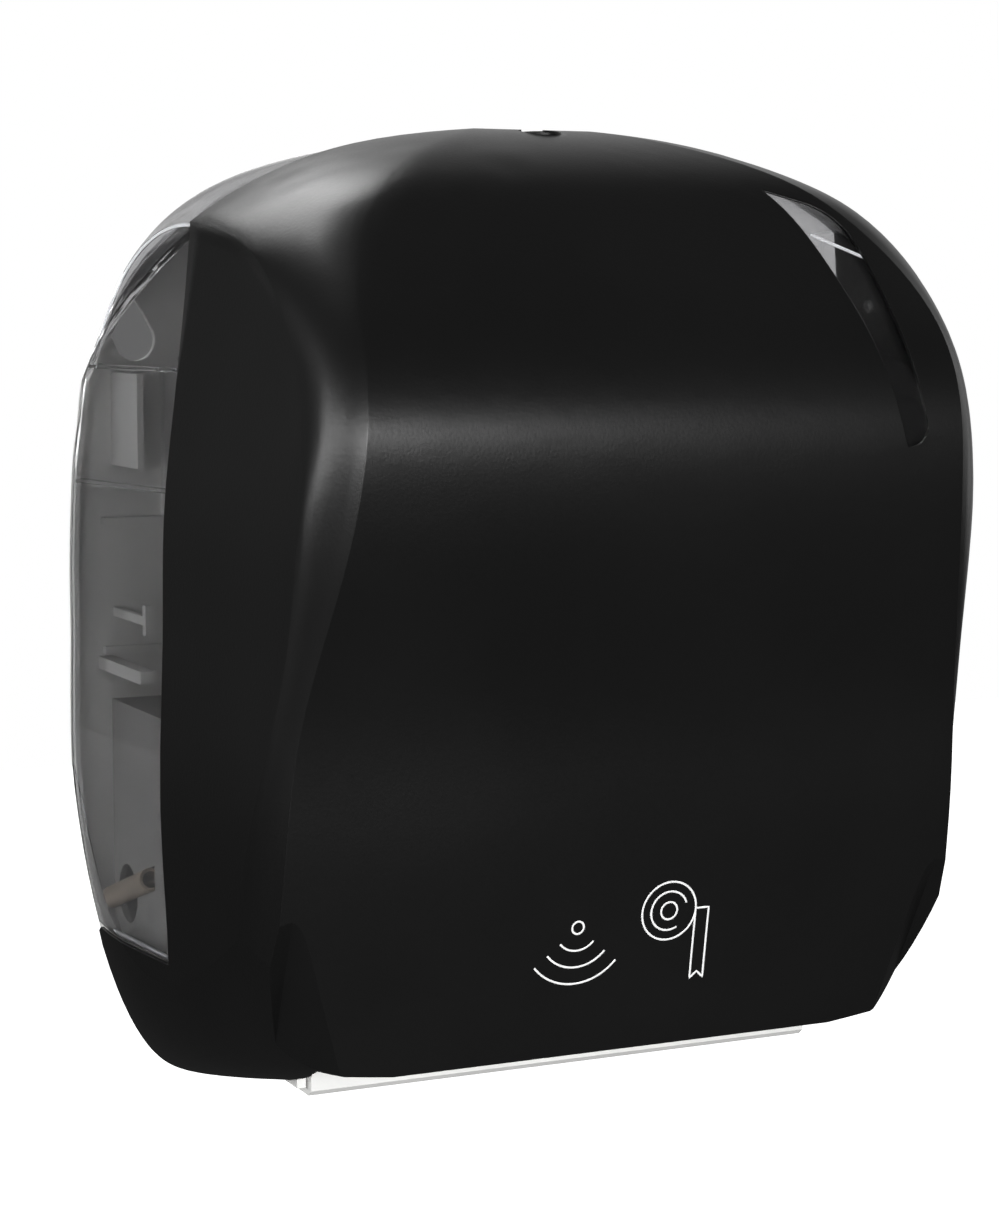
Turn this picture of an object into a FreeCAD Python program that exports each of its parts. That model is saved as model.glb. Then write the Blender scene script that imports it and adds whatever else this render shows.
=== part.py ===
# Sensor paper towel dispenser for a wall: a smoked cover with a black skin over a white back plate, a feed
# drive with rollers and gears, a battery box, roll arms and a key lock.
# The lengths are millimetres. X runs to the viewer's right, depth runs forward from the wall along -Y, and
# heights in this file count from the level of the front foot. Every node is then lowered by MountHeight,
# so that the origin lies on the wall, in the middle of the four wall screws.
import FreeCAD, Part
import math
import os
import Sketcher
from FreeCAD import Placement, Rotation, Vector

doc = FreeCAD.newDocument("TowelDispenser")

# Driving dimensions
VALUES = {
    # Wall fixing
    "MountHeight": 190, "ScrewSpacingWide": 200, "ScrewSpacingHigh": 220, "ScrewHole": 2.75,
    "KeyholeSpacing": 262, "KeyholeHeight": 296, "KeyholeSize": 8.5, "KeyholeTail": 18,
    # Cover, seen from the side: depth and height of points down the middle of its front
    "RimDepth": 11.8, "RimHeight": 374.6, "CrownDepth": 62, "CrownHeight": 378,
    "TopDepth": 103, "TopHeight": 376.5, "BrowDepth": 156.7, "BrowHeight": 353.2,
    "TempleDepth": 191.5, "TempleHeight": 318.5, "EyeDepth": 208.1, "EyeHeight": 297.9,
    "RidgeDepth": 216.5, "RidgeHeight": 258.7, "CheekDepth": 209, "CheekHeight": 219.5,
    "WaistDepth": 193.9, "WaistHeight": 170.5, "LipDepth": 171, "LipHeight": 26.5,
    # Cover, seen from the front: half widths of the side panels at six heights, and of the flat front
    "SideFoot": 159.3, "SideLow": 160.8, "SideWide": 164.9, "SideHigh": 162.7, "SideBrow": 155.7, "SideTop": 152.2,
    "SideTaper": 0.147, "FlatLip": 141.6, "FlatWaist": 134, "FlatRidge": 120, "FlatTemple": 111.6, "FlatTop": 19.9,
    # Crease between the side panel and the shoulder: depth and height from the rim over the top and down
    "CreaseRimHeight": 283.4, "CreaseBackDepth": 50, "CreaseBackHeight": 329.1, "CreaseTopDepth": 96,
    "CreaseTopHeight": 340.6, "CreaseFrontDepth": 153, "CreaseFrontHeight": 324.7, "CreaseEyeDepth": 190,
    "CreaseEyeHeight": 269.0, "CreaseCheekDepth": 194, "CreaseCheekHeight": 216, "CreaseWaistDepth": 173,
    "CreaseWaistHeight": 138, "CreaseLipDepth": 132, "CreaseLipHeight": 34,
    # Walls of the cover
    "SkinWall": 1.6, "SkinGap": 0.1, "ClearWall": 2.2, "SkinEdge": 96, "WindowFoot": 62,
    "UndersideRim": -3.0, "UndersideSlope": 0.211, "OpeningHalf": 118.5, "OpeningFront": 166, "RimClearance": 1.1,
    "ClearRibLow": 240, "ClearRibHigh": 285, "ClearRibWall": 1.5, "ClearRibReach": 4,
    # Lock in the top of the cover
    "LockRadius": 7.75, "LockTop": 377.5, "CamHeight": 357, "CamWall": 2, "CamReach": 14, "CollarRadius": 10.5,
    # Hinge of the cover
    "HingeDepth": 24, "HingeHeight": 14, "HingePin": 2.5, "HingeEyeRadius": 6.5, "EyeWidth": 6,
    # Back plate
    "PlateWall": 3, "PlateInset": 5.4, "PlateRimDepth": 11, "PlateRimWall": 2, "RibDepth": 7, "RibWall": 3,
    # Fits
    "RunningFit": 0.05, "SlideGap": 0.3,
    # Drive frame
    "FrameFace": 146, "FrameStep": 132, "FrameOpen": 112, "FrameWall": 2.5, "BearingWall": 3,
    "FrameBack": 14, "FrameTop": 153, "FrameShoulder": 88, "FrameFront": 155, "FrameFoot": 34,
    "CableHole": 11.75, "CableDepth": 32, "CableHeight": 77, "CableRadius": 4.5, "CableRun": 50, "CableRise": 16.5,
    # Rollers, shafts and gears
    "FeedDepth": 128, "FeedHeight": 92, "FeedCore": 15, "FeedRubber": 2, "FeedHalf": 100, "FeedShaft": 4,
    "SleeveWidth": 48, "SleevePitch": 66, "PressRadius": 11, "PressShaft": 3, "PressHalf": 98, "NipGap": 0.4,
    "GearModule": 1, "DrumTeeth": 44, "IdlerTeeth": 40, "PinionTeeth": 12, "GearWidth": 8, "GearStart": 115,
    "GearBacklash": 0.25, "IdlerDepth": 90, "PinionDepth": 66, "MotorRadius": 14, "MotorLength": 40,
    # Roll holder
    "RollDepth": 112, "RollHeight": 255, "ArmInner": 104.5, "ArmWall": 4, "ArmEnd": 18, "HubRadius": 19,
    "HubTip": 16.5, "HubWidth": 17, "HubAxle": 6, "ArmPivotDepth": 14,
    # Batteries
    "CellRadius": 17.1, "CellLength": 61.5, "CellPitch": 34.6, "BoxHalf": 72, "BoxFront": 74, "BoxLow": 112,
    "BoxTall": 39, "BoxWall": 2.2, "DoorWall": 2.4,
    # Outlet
    "TrayHalf": 107.4, "TrayFront": 128.8, "TrayBack": 64, "TrayLow": 13.7, "TrayWall": 3, "TrayTall": 17,
    "SlotFront": 118.2, "SlotBack": 106, "SlotHalf": 102, "BladeWall": 1, "BladeTall": 18, "ToothPitch": 4,
    "ToothDepth": 2.4,
    # Small pieces
    "ScrewShank": 1.5, "ScrewHead": 3, "ScrewHeadTall": 2, "ButtonRadius": 5.5, "ButtonTravel": 2.5,
    "LensRadius": 3.5, "BoardWall": 1.6,
}

sheet = doc.addObject("Spreadsheet::Sheet", "Sizes")
for row, (name, value) in enumerate(VALUES.items(), start=1):
    sheet.set("A%d" % row, name)
    sheet.set("B%d" % row, str(value))
    sheet.setAlias("B%d" % row, name)
doc.recompute()


class Size:
    """A length from the sheet or worked out from it: its number, and the expression that says the same."""

    def __init__(self, number, text):
        self.number = number
        self.text = text

    def joined(self, sign, other, number):
        return Size(number, "(%s %s %s)" % (self.text, sign, other.text))

    def __add__(self, other):
        other = as_size(other)
        return self.joined("+", other, self.number + other.number)

    def __sub__(self, other):
        other = as_size(other)
        return self.joined("-", other, self.number - other.number)

    def __mul__(self, other):
        other = as_size(other)
        return self.joined("*", other, self.number * other.number)

    def __truediv__(self, other):
        other = as_size(other)
        return self.joined("/", other, self.number / other.number)

    def __radd__(self, other):
        return as_size(other) + self

    def __rsub__(self, other):
        return as_size(other) - self

    def __rmul__(self, other):
        return as_size(other) * self

    def __neg__(self):
        return as_size(0) - self

    def __float__(self):
        return float(self.number)


def as_size(value):
    """A plain number as a Size; a Size stays as it is."""
    return value if isinstance(value, Size) else Size(float(value), "%.6g" % value)


class Cells:
    """The sheet's cells by name: cell.PlateWall is that cell's Size."""

    def __getattr__(self, name):
        return Size(float(sheet.get(name)), "Sizes." + name)


cell = Cells()


def bind(thing, **sizes):
    """Tie properties of an object to sizes; a double underscore in a name stands for a dot."""
    for path, size in sizes.items():
        thing.setExpression(path.replace("__", "."), as_size(size).text)


# Primitives, placed by ranges of X, depth and height
ALONG = {"X": Rotation(Vector(0, 1, 0), 90), "Y": Rotation(Vector(1, 0, 0), 90), "Z": Rotation()}


OWN_HEIGHT = {}


def place(thing, x, depth, height):
    """Put an object's own origin at a place given by X, depth and height."""
    OWN_HEIGHT[thing.Name] = as_size(height)
    bind(thing, Placement__Base__x=x, Placement__Base__y=-as_size(depth), Placement__Base__z=height)
    return thing


def block(name, wide, deep, tall):
    """A box over ranges of X, depth and height."""
    box = doc.addObject("Part::Box", name)
    bind(box, Length=wide[1] - as_size(wide[0]), Width=deep[1] - as_size(deep[0]), Height=tall[1] - as_size(tall[0]))
    return place(box, wide[0], deep[1], tall[0])


def rod(name, along, radius, start, end, first, second):
    """A cylinder along X, Y or Z from start to end; first and second are its other two coordinates, in the
    order X, depth, height. Along Y, start and end are depths."""
    thing = doc.addObject("Part::Cylinder", name)
    thing.Placement.Rotation = ALONG[along]
    bind(thing, Radius=radius, Height=end - as_size(start))
    spot = {"X": (start, first, second), "Y": (first, start, second), "Z": (first, second, start)}[along]
    return place(thing, *spot)


def cut(name, base, *tools):
    """The base less the tools."""
    result = doc.addObject("Part::Cut", name)
    result.Base = base
    result.Tool = tools[0] if len(tools) == 1 else fuse(name + "_tools", *tools)
    return result


def fuse(name, *pieces):
    """One solid of several that meet."""
    result = doc.addObject("Part::MultiFuse", name)
    result.Shapes = list(pieces)
    return result


def group(name, *pieces):
    """Separate solids in one node."""
    result = doc.addObject("Part::Compound", name)
    result.Links = list(pieces)
    return result


# Sketched bodies
PLANES = {"X": "YZ_Plane", "Y": "XZ_Plane", "Z": "XY_Plane"}


def sketch_on(body, along, offset):
    """A sketch square to X, depth (Y) or height (Z); offset moves it by sizes across, up and out of its plane."""
    plane = [item for item in body.Origin.OriginFeatures if item.Role == PLANES[along]][0]
    drawing = body.newObject("Sketcher::SketchObject", body.Name + "_sketch")
    drawing.AttachmentSupport = [(plane, "")]
    drawing.MapMode = "FlatFace"
    bind(drawing, AttachmentOffset__Base__x=offset[0], AttachmentOffset__Base__y=offset[1],
         AttachmentOffset__Base__z=offset[2])
    return drawing


def draw_polygon(drawing, corners):
    """A closed outline through corners (across, up), each tied to its sizes."""
    first = drawing.GeometryCount
    spots = [Vector(float(across), float(up), 0) for across, up in corners]
    count = len(spots)
    for index in range(count):
        drawing.addGeometry(Part.LineSegment(spots[index], spots[(index + 1) % count]), False)
    for index in range(count):
        following = first + (index + 1) % count
        drawing.addConstraint(Sketcher.Constraint("Coincident", first + index, 2, following, 1))
    for index, (across, up) in enumerate(corners):
        for kind, size, axis in (("DistanceX", across, -2), ("DistanceY", up, -1)):
            size = as_size(size)
            if size.number == 0 and size.text == "0":
                drawing.addConstraint(Sketcher.Constraint("PointOnObject", first + index, 1, axis))
                continue
            rule = drawing.addConstraint(Sketcher.Constraint(kind, -1, 1, first + index, 1, size.number))
            drawing.setExpression("Constraints[%d]" % rule, size.text)


def slab(name, along, corners, start, end):
    """A prism with a polygon of corners, from start to end along X, depth or height. Corners are (depth,
    height) for X, (X, height) for Y and (X, depth) for Z."""
    body = doc.addObject("PartDesign::Body", name)
    if along == "X":
        drawing = sketch_on(body, "X", (0, 0, start))
        corners = [(-as_size(depth), height) for depth, height in corners]
    elif along == "Y":
        drawing = sketch_on(body, "Y", (0, 0, start))
    else:
        drawing = sketch_on(body, "Z", (0, 0, start))
        corners = [(x, -as_size(depth)) for x, depth in corners]
    draw_polygon(drawing, corners)
    pad = body.newObject("PartDesign::Pad", name + "_pad")
    pad.Profile = drawing
    bind(pad, Length=end - as_size(start))
    return body


def turned(name, along, first, second, corners):
    """A piece turned about an axis along X, Y or Z. The corners are (place along the axis, radius); first and
    second are the axis's other coordinates in the order X, depth, height."""
    body = doc.addObject("PartDesign::Body", name)
    if along == "X":
        drawing = sketch_on(body, "Y", (0, second, first))
        outline = corners
    elif along == "Y":
        drawing = sketch_on(body, "X", (0, second, first))
        outline = [(-as_size(depth), radius) for depth, radius in corners]
    else:
        drawing = sketch_on(body, "Y", (first, 0, second))
        outline = [(radius, height) for height, radius in corners]
    draw_polygon(drawing, outline)
    turn = body.newObject("PartDesign::Revolution", name + "_turn")
    turn.Profile = drawing
    turn.ReferenceAxis = (drawing, ["V_Axis" if along == "Z" else "H_Axis"])
    turn.Angle = 360
    return body


def shaped(name, shape):
    """A node whose shape is worked out below with curves and surfaces."""
    thing = doc.addObject("Part::Feature", name)
    thing.Shape = shape
    return thing


NODES = {}


def node(name, thing):
    """Name a finished sub-part, and lower it so that the origin is the middle of the wall screws."""
    thing.Label = name
    bind(thing, Placement__Base__z=OWN_HEIGHT.get(thing.Name, as_size(0)) - cell.MountHeight)
    NODES[name] = thing


# The cover's form: sections in planes that turn about an axis along X behind the rim, joined by one loft
FAN_DEPTH = -30
FAN_HEIGHT = 150
FAN_HUB = 22
# The turning plane's angle above level, and the slopes of the shoulder's curve, in degrees to X, where it
# leaves the flat front and where it meets the side panel
FAN = ((-76, 80, 84), (-64, 80, 84), (-52, 80, 84), (-42, 80, 84), (-33, 79, 84), (-22, 79, 84), (-12, 76, 84),
       (-3, 62, 82), (5, 34, 75), (14, 27, 76), (22, 27, 84), (30, 26, 82), (38, 15, 75), (45, 10, 53),
       (52, 11, 46), (58, 5, 38), (64, 8, 51), (69, 8, 65), (74, 0, 73), (79, 0, 84), (84, 0, 88))
SHOULDER_REACH = 0.375


def from_fan(depth, height):
    """A point of the side view as an angle and a distance from the fan's axis."""
    out, up = float(depth) - FAN_DEPTH, float(height) - FAN_HEIGHT
    return math.degrees(math.atan2(up, out)), math.hypot(out, up)


def smooth(pairs):
    """A smooth function through pairs (place, value)."""
    pairs = sorted((float(place_), float(value)) for place_, value in pairs)
    curve = Part.BSplineCurve()
    curve.interpolate(Points=[Vector(a, b, 0) for a, b in pairs], Parameters=[a for a, b in pairs])
    return lambda spot: curve.value(spot).y


PROFILE = [(getattr(cell, name + "Depth"), getattr(cell, name + "Height"))
           for name in ("Rim", "Crown", "Top", "Brow", "Temple", "Eye", "Ridge", "Cheek", "Waist", "Lip")]
waist, lip = PROFILE[-2], PROFILE[-1]
STRAIGHT = [(waist[0] + (lip[0] - waist[0]) * share, waist[1] + (lip[1] - waist[1]) * share)
            for share in (1 / 3, 2 / 3)]
BELOW = [(lip[0] - 6, -6), (lip[0] - 31, -36), (80, -45), (30, -45), (5, -45)]
profile_reach = smooth([from_fan(*spot) for spot in PROFILE + STRAIGHT + BELOW] + [(90, 221)])

CREASE = [(cell.RimDepth, cell.CreaseRimHeight)]
CREASE += [(getattr(cell, "Crease" + name + "Depth"), getattr(cell, "Crease" + name + "Height"))
           for name in ("Back", "Top", "Front", "Eye", "Cheek", "Waist", "Lip")]
crease_reach = smooth([from_fan(*spot) for spot in CREASE] + [(80, 82), (90, 20), (-60, 205), (-80, 200)])

side_half = smooth([(-80, 150), (0, cell.SideFoot), (61, cell.SideLow), (125, cell.SideWide + 0.3),
                    (186, cell.SideWide), (250, cell.SideHigh), (282, cell.SideHigh - 4.5),
                    (312, cell.SideBrow), (341, cell.SideTop), (380, cell.SideTop - 5.0)])
side_taper = smooth([(-80, cell.SideTaper - 0.05), (61, cell.SideTaper - 0.043), (186, cell.SideTaper - 0.003),
                     (300, cell.SideTaper), (380, cell.SideTaper)])
flat_half = smooth([(-90, cell.FlatLip - 2), (-50, cell.FlatLip), (-33, cell.FlatLip), (-12, cell.FlatLip - 2.6),
                    (5, cell.FlatWaist), (24, cell.FlatRidge), (38, cell.FlatTemple), (45, cell.FlatTemple - 16.1),
                    (52, cell.FlatTop + 46.1), (58, cell.FlatTop + 15.9), (64, cell.FlatTop), (74, cell.FlatTop + 11.6),
                    (84, cell.FlatTop + 16.2), (90, cell.FlatTop + 16.2)])


def section(angle, front_slope, side_slope, inset):
    """One closed section of the cover's form, set in from its outside by inset."""
    across, up = math.cos(math.radians(angle)), math.sin(math.radians(angle))

    def spot(x, reach):
        return Vector(x, -(FAN_DEPTH + reach * across), FAN_HEIGHT + reach * up)

    def half(reach):
        depth, height = FAN_DEPTH + reach * across, FAN_HEIGHT + reach * up
        return side_half(height) - side_taper(height) * (depth - float(cell.RimDepth)) - inset

    front, side = profile_reach(angle) - inset, crease_reach(angle) - 0.7 * inset
    flat = flat_half(angle) - 0.3 * inset
    wide = half(side)
    handle = SHOULDER_REACH * math.hypot(wide - flat, front - side)
    slopes = [math.radians(slope) for slope in (front_slope, side_slope)]
    poles = ((flat, front), (flat + handle * math.cos(slopes[0]), front - handle * math.sin(slopes[0])),
             (wide - handle * math.cos(slopes[1]), side + handle * math.sin(slopes[1])), (wide, side))
    steps = [FAN_HUB + (side - FAN_HUB) * share / 4 for share in range(5)]
    edges = [Part.makeLine(spot(-half(FAN_HUB), FAN_HUB), spot(half(FAN_HUB), FAN_HUB)),
             Part.makeLine(spot(flat, front), spot(-flat, front))]
    for sign in (1, -1):
        shoulder = Part.BezierCurve()
        shoulder.setPoles([spot(sign * x, reach) for x, reach in poles])
        panel = Part.BSplineCurve()
        panel.interpolate(Points=[spot(sign * half(reach), reach) for reach in steps])
        edges += [shoulder.toShape(), panel.toShape()]
    return Part.Wire(Part.__sortEdges__(edges))


# Corners of the underside, as curves in planes square to depth: where the side starts to turn in, how far
# the curve's handles reach, and where it meets the flat underside
CORNER_BACK = {"depth": 0, "half": 167.2, "start": 149.9, "side_handle": 35.6, "foot_handle": 32.0, "foot": 54.0}
CORNER_MIDDLE = {"depth": 96, "half": 155.8, "start": 110.8, "side_handle": 46.7, "foot_handle": 32.4, "foot": 36.4}
CORNER_FRONT = {"depth": 200, "half": 141.5, "start": 109.6, "side_handle": 35.2, "foot_handle": 12.6, "foot": 50.0}
FAR = 600


def corner_wire(corner, inset):
    """Outline, at one depth, of what lies below and beside the cover's rounded foot."""
    half = corner["half"] - inset
    low = float(cell.UndersideRim) + float(cell.UndersideSlope) * (corner["depth"] - float(cell.RimDepth)) + inset
    start, foot = corner["start"], half - corner["foot"] + 0.6 * inset

    def spot(x, height):
        return Vector(x, -corner["depth"], height)

    edges = [Part.makeLine(spot(foot, low), spot(-foot, low)), Part.makeLine(spot(FAR, -FAR), spot(-FAR, -FAR))]
    for sign in (1, -1):
        curve = Part.BezierCurve()
        curve.setPoles([spot(sign * half, start), spot(sign * half, start - corner["side_handle"]),
                        spot(sign * (foot + corner["foot_handle"]), low), spot(sign * foot, low)])
        edges += [curve.toShape(), Part.makeLine(spot(sign * half, start), spot(sign * FAR, start + 200)),
                  Part.makeLine(spot(sign * FAR, start + 200), spot(sign * FAR, -FAR))]
    return Part.Wire(Part.__sortEdges__(edges))


# The chin stands proud of the two pods beside it: the valley between them, as (X, depth) corners at its top
# and at its foot
VALLEY_TOP = 98
VALLEY_FOOT = 10
VALLEY_TOP_CORNERS = ((130, 183.5), (135, 183.8), (150, 184), (150, 240), (130, 240))
VALLEY_FOOT_CORNERS = ((106.6, 168.3), (130.7, 141.2), (166, 161), (166, 240), (106.6, 240))


def valley(sign, inset):
    """The wedge cut between the chin and one pod."""
    back = 1.35 * inset
    wires = []
    for height, corners in ((VALLEY_TOP, VALLEY_TOP_CORNERS), (VALLEY_FOOT, VALLEY_FOOT_CORNERS)):
        spots = [Vector(sign * x, -(depth - back), height) for x, depth in corners]
        wires.append(Part.makePolygon(spots + spots[:1]))
    return Part.makeLoft(wires, True, True)


def form(inset):
    """The room inside the cover's outside, set in by inset, without an end at the rim."""
    body = Part.makeLoft([section(*step, inset) for step in FAN], True, False)
    below = Part.makeLoft([corner_wire(corner, inset) for corner in (CORNER_BACK, CORNER_MIDDLE, CORNER_FRONT)], True)
    return body.cut([below, valley(1, inset), valley(-1, inset)])


def prism_x(corners, half):
    """A prism across the whole width over (depth, height) corners."""
    spots = [Vector(-half, -float(depth), float(height)) for depth, height in corners]
    return Part.Face(Part.makePolygon(spots + spots[:1])).extrude(Vector(2 * half, 0, 0))


def region(wide, deep, tall):
    """A box over ranges of X, depth and height, as a shape."""
    size = [float(high) - float(low) for low, high in (wide, deep, tall)]
    return Part.makeBox(*size, Vector(float(wide[0]), -float(deep[1]), float(tall[0])))


skin_in = float(cell.SkinWall)
clear_out = float(cell.SkinWall + cell.SkinGap)
clear_in = float(cell.SkinWall + cell.SkinGap + cell.ClearWall)
form_outside = form(0)
form_under_skin = form(skin_in)
form_clear = form(clear_out)
form_inside = form(clear_in)

# Cover skin: black, over the front and the foot; the clear cover shows behind its rear edge
rim = cell.RimDepth
skin_edge = cell.SkinEdge
keep_skin = prism_x([(skin_edge, FAR), (FAR, FAR), (FAR, -FAR), (rim + 5, -FAR), (rim + 5, 2), (rim, 8),
                     (rim, cell.WindowFoot - 10),
                     (rim + 3, cell.WindowFoot - 3), (rim + 10, cell.WindowFoot), (skin_edge, cell.WindowFoot)], FAR)
opening = region((-cell.OpeningHalf, cell.OpeningHalf), (0, cell.OpeningFront), (-50, cell.LipHeight + 12))

LIP_END_HALF = 119
LIP_END_RISE = 8.8


def lip_arc():
    """What lies under the chin's lower edge, which rises in an arc to both ends."""
    ends = [Vector(sign * LIP_END_HALF, -float(cell.OpeningFront) + 8, float(cell.LipHeight) - 1 + LIP_END_RISE)
            for sign in (-1, 1)]
    middle = Vector(0, ends[0].y, float(cell.LipHeight) - 1)
    arc = Part.Arc(ends[0], middle, ends[1]).toShape()
    drop = Vector(0, 0, -60)
    sides = [Part.makeLine(ends[0], ends[0] + drop), Part.makeLine(ends[1], ends[1] + drop),
             Part.makeLine(ends[0] + drop, ends[1] + drop)]
    return Part.Face(Part.Wire(Part.__sortEdges__([arc] + sides))).extrude(Vector(0, -80, 0))


# Long window in the right of the skin: its inner and outer sides as (X, height), from the top down
WINDOW_INNER = ((67.8, 353.2), (76.2, 338.6), (80.8, 320.9), (89.4, 281.4), (96, 258.1))
WINDOW_OUTER = ((80.9, 349.1), (95.5, 338), (98.4, 314.2), (100.6, 288.1), (104.4, 268))
WINDOW_END = (102.5, 260)


def window():
    """The long window's opening, as a prism along depth."""
    start = -float(cell.TopDepth)
    curves = []
    for side in (WINDOW_INNER, WINDOW_OUTER):
        curve = Part.BSplineCurve()
        curve.interpolate(Points=[Vector(x, start, height) for x, height in side])
        curves.append(curve.toShape())
    corners = [Vector(x, start, height) for x, height in
               (WINDOW_INNER[0], WINDOW_OUTER[0], WINDOW_INNER[-1], WINDOW_END, WINDOW_OUTER[-1])]
    edges = curves + [Part.makeLine(corners[0], corners[1])]
    edges.append(Part.Arc(corners[2], corners[3], corners[4]).toShape())
    return Part.Face(Part.Wire(Part.__sortEdges__(edges))).extrude(Vector(0, -200, 0))


lock_hole = Part.makeCylinder(float(cell.LockRadius) + 0.6, 60, Vector(0, -float(cell.TopDepth), 340))
skin_shell = form_outside.cut(form_under_skin).common(keep_skin).cut([opening, lip_arc(), window(), lock_hole])


def hinge_lug(sign):
    """The eye on the skin's foot that turns on the hinge pin."""
    depth, height = float(cell.HingeDepth), float(cell.HingeHeight)
    start = float(cell.OpeningHalf) if sign > 0 else -float(cell.OpeningHalf + cell.EyeWidth)
    width = float(cell.EyeWidth)
    radius = float(cell.HingeEyeRadius)
    eye = Part.makeCylinder(radius, width, Vector(start, -depth, height), Vector(1, 0, 0))
    leg = region((start, start + width), (depth - radius, depth + radius), (skin_in + 0.8, height))
    bore = Part.makeCylinder(float(cell.HingePin + cell.RunningFit), width + 2, Vector(start - 1, -depth, height),
                             Vector(1, 0, 0))
    return eye.fuse(leg).cut(bore)


skin_shape = skin_shell.fuse([hinge_lug(1), hinge_lug(-1)])
node("cover_skin", shaped("cover_skin", skin_shape))

# Clear cover: a smoked shell under the skin and behind it, with two ribs inside each side window
rib_inside = form(clear_in + float(cell.ClearRibReach))
ribs = [region((-FAR, FAR), (rim + 1, skin_edge), (height, height + cell.ClearRibWall))
        for height in (cell.ClearRibLow, cell.ClearRibHigh)]
ribs = [rib.common(form_clear).cut(rib_inside) for rib in ribs]
clear_room = prism_x([(rim, FAR), (FAR, FAR), (FAR, cell.WindowFoot + 0.3), (rim, cell.WindowFoot + 0.3)], FAR)
clear_shell = form_clear.cut(form_inside).common(clear_room).cut(lock_hole)
node("clear_cover", shaped("clear_cover", clear_shell.fuse(ribs)))

# Lock: a collar in the top of the cover, and a barrel that turns a finger behind the catch's tab
top_depth = cell.TopDepth
barrel_foot = cell.CamHeight + cell.CamWall
collar_low = barrel_foot + 6
collar_bore = cell.LockRadius + cell.RunningFit
collar_seat = cell.TopHeight - clear_in - 2.5
neck = cell.LockRadius + 0.5
node("lock_collar", turned("lock_collar", "Z", 0, top_depth,
                           [(collar_low, collar_bore), (collar_low, cell.CollarRadius),
                            (collar_seat, cell.CollarRadius), (collar_seat, neck), (cell.TopHeight - 0.6, neck),
                            (cell.TopHeight - 0.6, collar_bore)]))
barrel = rod("barrel_body", "Z", cell.LockRadius, barrel_foot, cell.LockTop - 1.2, 0, top_depth)
key_slot = block("key_slot", (-0.8, 0.8), (top_depth - 4, top_depth + 4), (cell.LockTop - 7, cell.LockTop + 1))
node("lock_barrel", cut("lock_barrel", barrel, key_slot))
finger = block("cam_finger", (-3.5, 3.5), (top_depth - cell.CamReach, top_depth), (cell.CamHeight, barrel_foot))
disc = rod("cam_disc", "Z", 6, cell.CamHeight, barrel_foot, 0, top_depth)
node("lock_cam", fuse("lock_cam", finger, disc))

# Back plate: a slab with a raised rim, ribs, screw bosses, keyholes, hinge ears and side rails
wall_outline = form(clear_in + float(cell.RimClearance))
rim_inner = form(clear_in + float(cell.RimClearance + cell.PlateRimWall))


def outline_prism(shape, start, end):
    """The outline of a form at the cover's rim, drawn out from one depth to another."""
    wires = shape.slice(Vector(0, 1, 0), -float(cell.RimDepth))
    face = Part.Face(max(wires, key=lambda wire: wire.Length))
    face.translate(Vector(0, float(cell.RimDepth) - float(start), 0))
    return face.extrude(Vector(0, float(start) - float(end), 0))


slab_shape = outline_prism(form(float(cell.PlateInset)), 0, cell.PlateWall)
wall_shape = outline_prism(wall_outline, 0, cell.PlateRimDepth).cut(outline_prism(rim_inner, 0, FAR))
hinge_notches = [region((low, low + 60), (cell.PlateWall, 60), (-20, 38))
                 for low in (float(cell.OpeningHalf) - 1, -float(cell.OpeningHalf) - 59)]
plate_panel = shaped("plate_panel", slab_shape.fuse(wall_shape.cut(hinge_notches)))
half_wide, half_high = cell.ScrewSpacingWide / 2, cell.ScrewSpacingHigh / 2
screw_spots = [(side * half_wide, cell.MountHeight + up * half_high) for side in (-1, 1) for up in (-1, 1)]
bosses = [rod("boss_%d" % index, "Y", 9, cell.PlateWall - 1, cell.RibDepth, *spot)
          for index, spot in enumerate(screw_spots)]
screw_holes = [rod("screw_hole_%d" % index, "Y", cell.ScrewHole, -1, cell.RibDepth + 1, *spot)
               for index, spot in enumerate(screw_spots)]
keyhole_half = cell.KeyholeSpacing / 2
keyholes = []
for side in (-1, 1):
    centre = side * keyhole_half
    keyholes.append(rod("keyhole_%d" % side, "Y", cell.KeyholeSize, -1, cell.RibDepth, centre, cell.KeyholeHeight))
    keyholes.append(slab("keyhole_tail_%d" % side, "Y",
                         [(centre - cell.KeyholeSize * 0.9, cell.KeyholeHeight + cell.KeyholeSize * 0.4),
                          (centre + cell.KeyholeSize * 0.9, cell.KeyholeHeight + cell.KeyholeSize * 0.4),
                          (centre, cell.KeyholeHeight + cell.KeyholeTail)], -1, cell.RibDepth))
plate_ribs = [block("rib_up_%d" % side, (side * 60 - cell.RibWall / 2, side * 60 + cell.RibWall / 2),
                    (cell.PlateWall - 1, cell.RibDepth), (24, 352)) for side in (-1, 1)]
plate_ribs += [block("rib_across_%d" % height, (-146, 146), (cell.PlateWall - 1, cell.RibDepth),
                     (height, height + cell.RibWall)) for height in (170, 222)]
pads = [block("arm_pad_%d" % side, (side * (cell.ArmInner + 4) - 12, side * (cell.ArmInner + 4) + 12),
              (cell.PlateWall - 1, cell.RibDepth), (cell.RollHeight - 30, cell.RollHeight + 30))
        for side in (-1, 1)]
frame_feet = [block("frame_foot_%d_%d" % (side, height), (side * 128 - 12, side * 128 + 12),
                    (cell.PlateWall - 1, cell.FrameBack), (height, height + 14))
              for side in (-1, 1) for height in (90, 132)]
ear_end = cell.OpeningHalf - 0.3
ears = []
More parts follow.
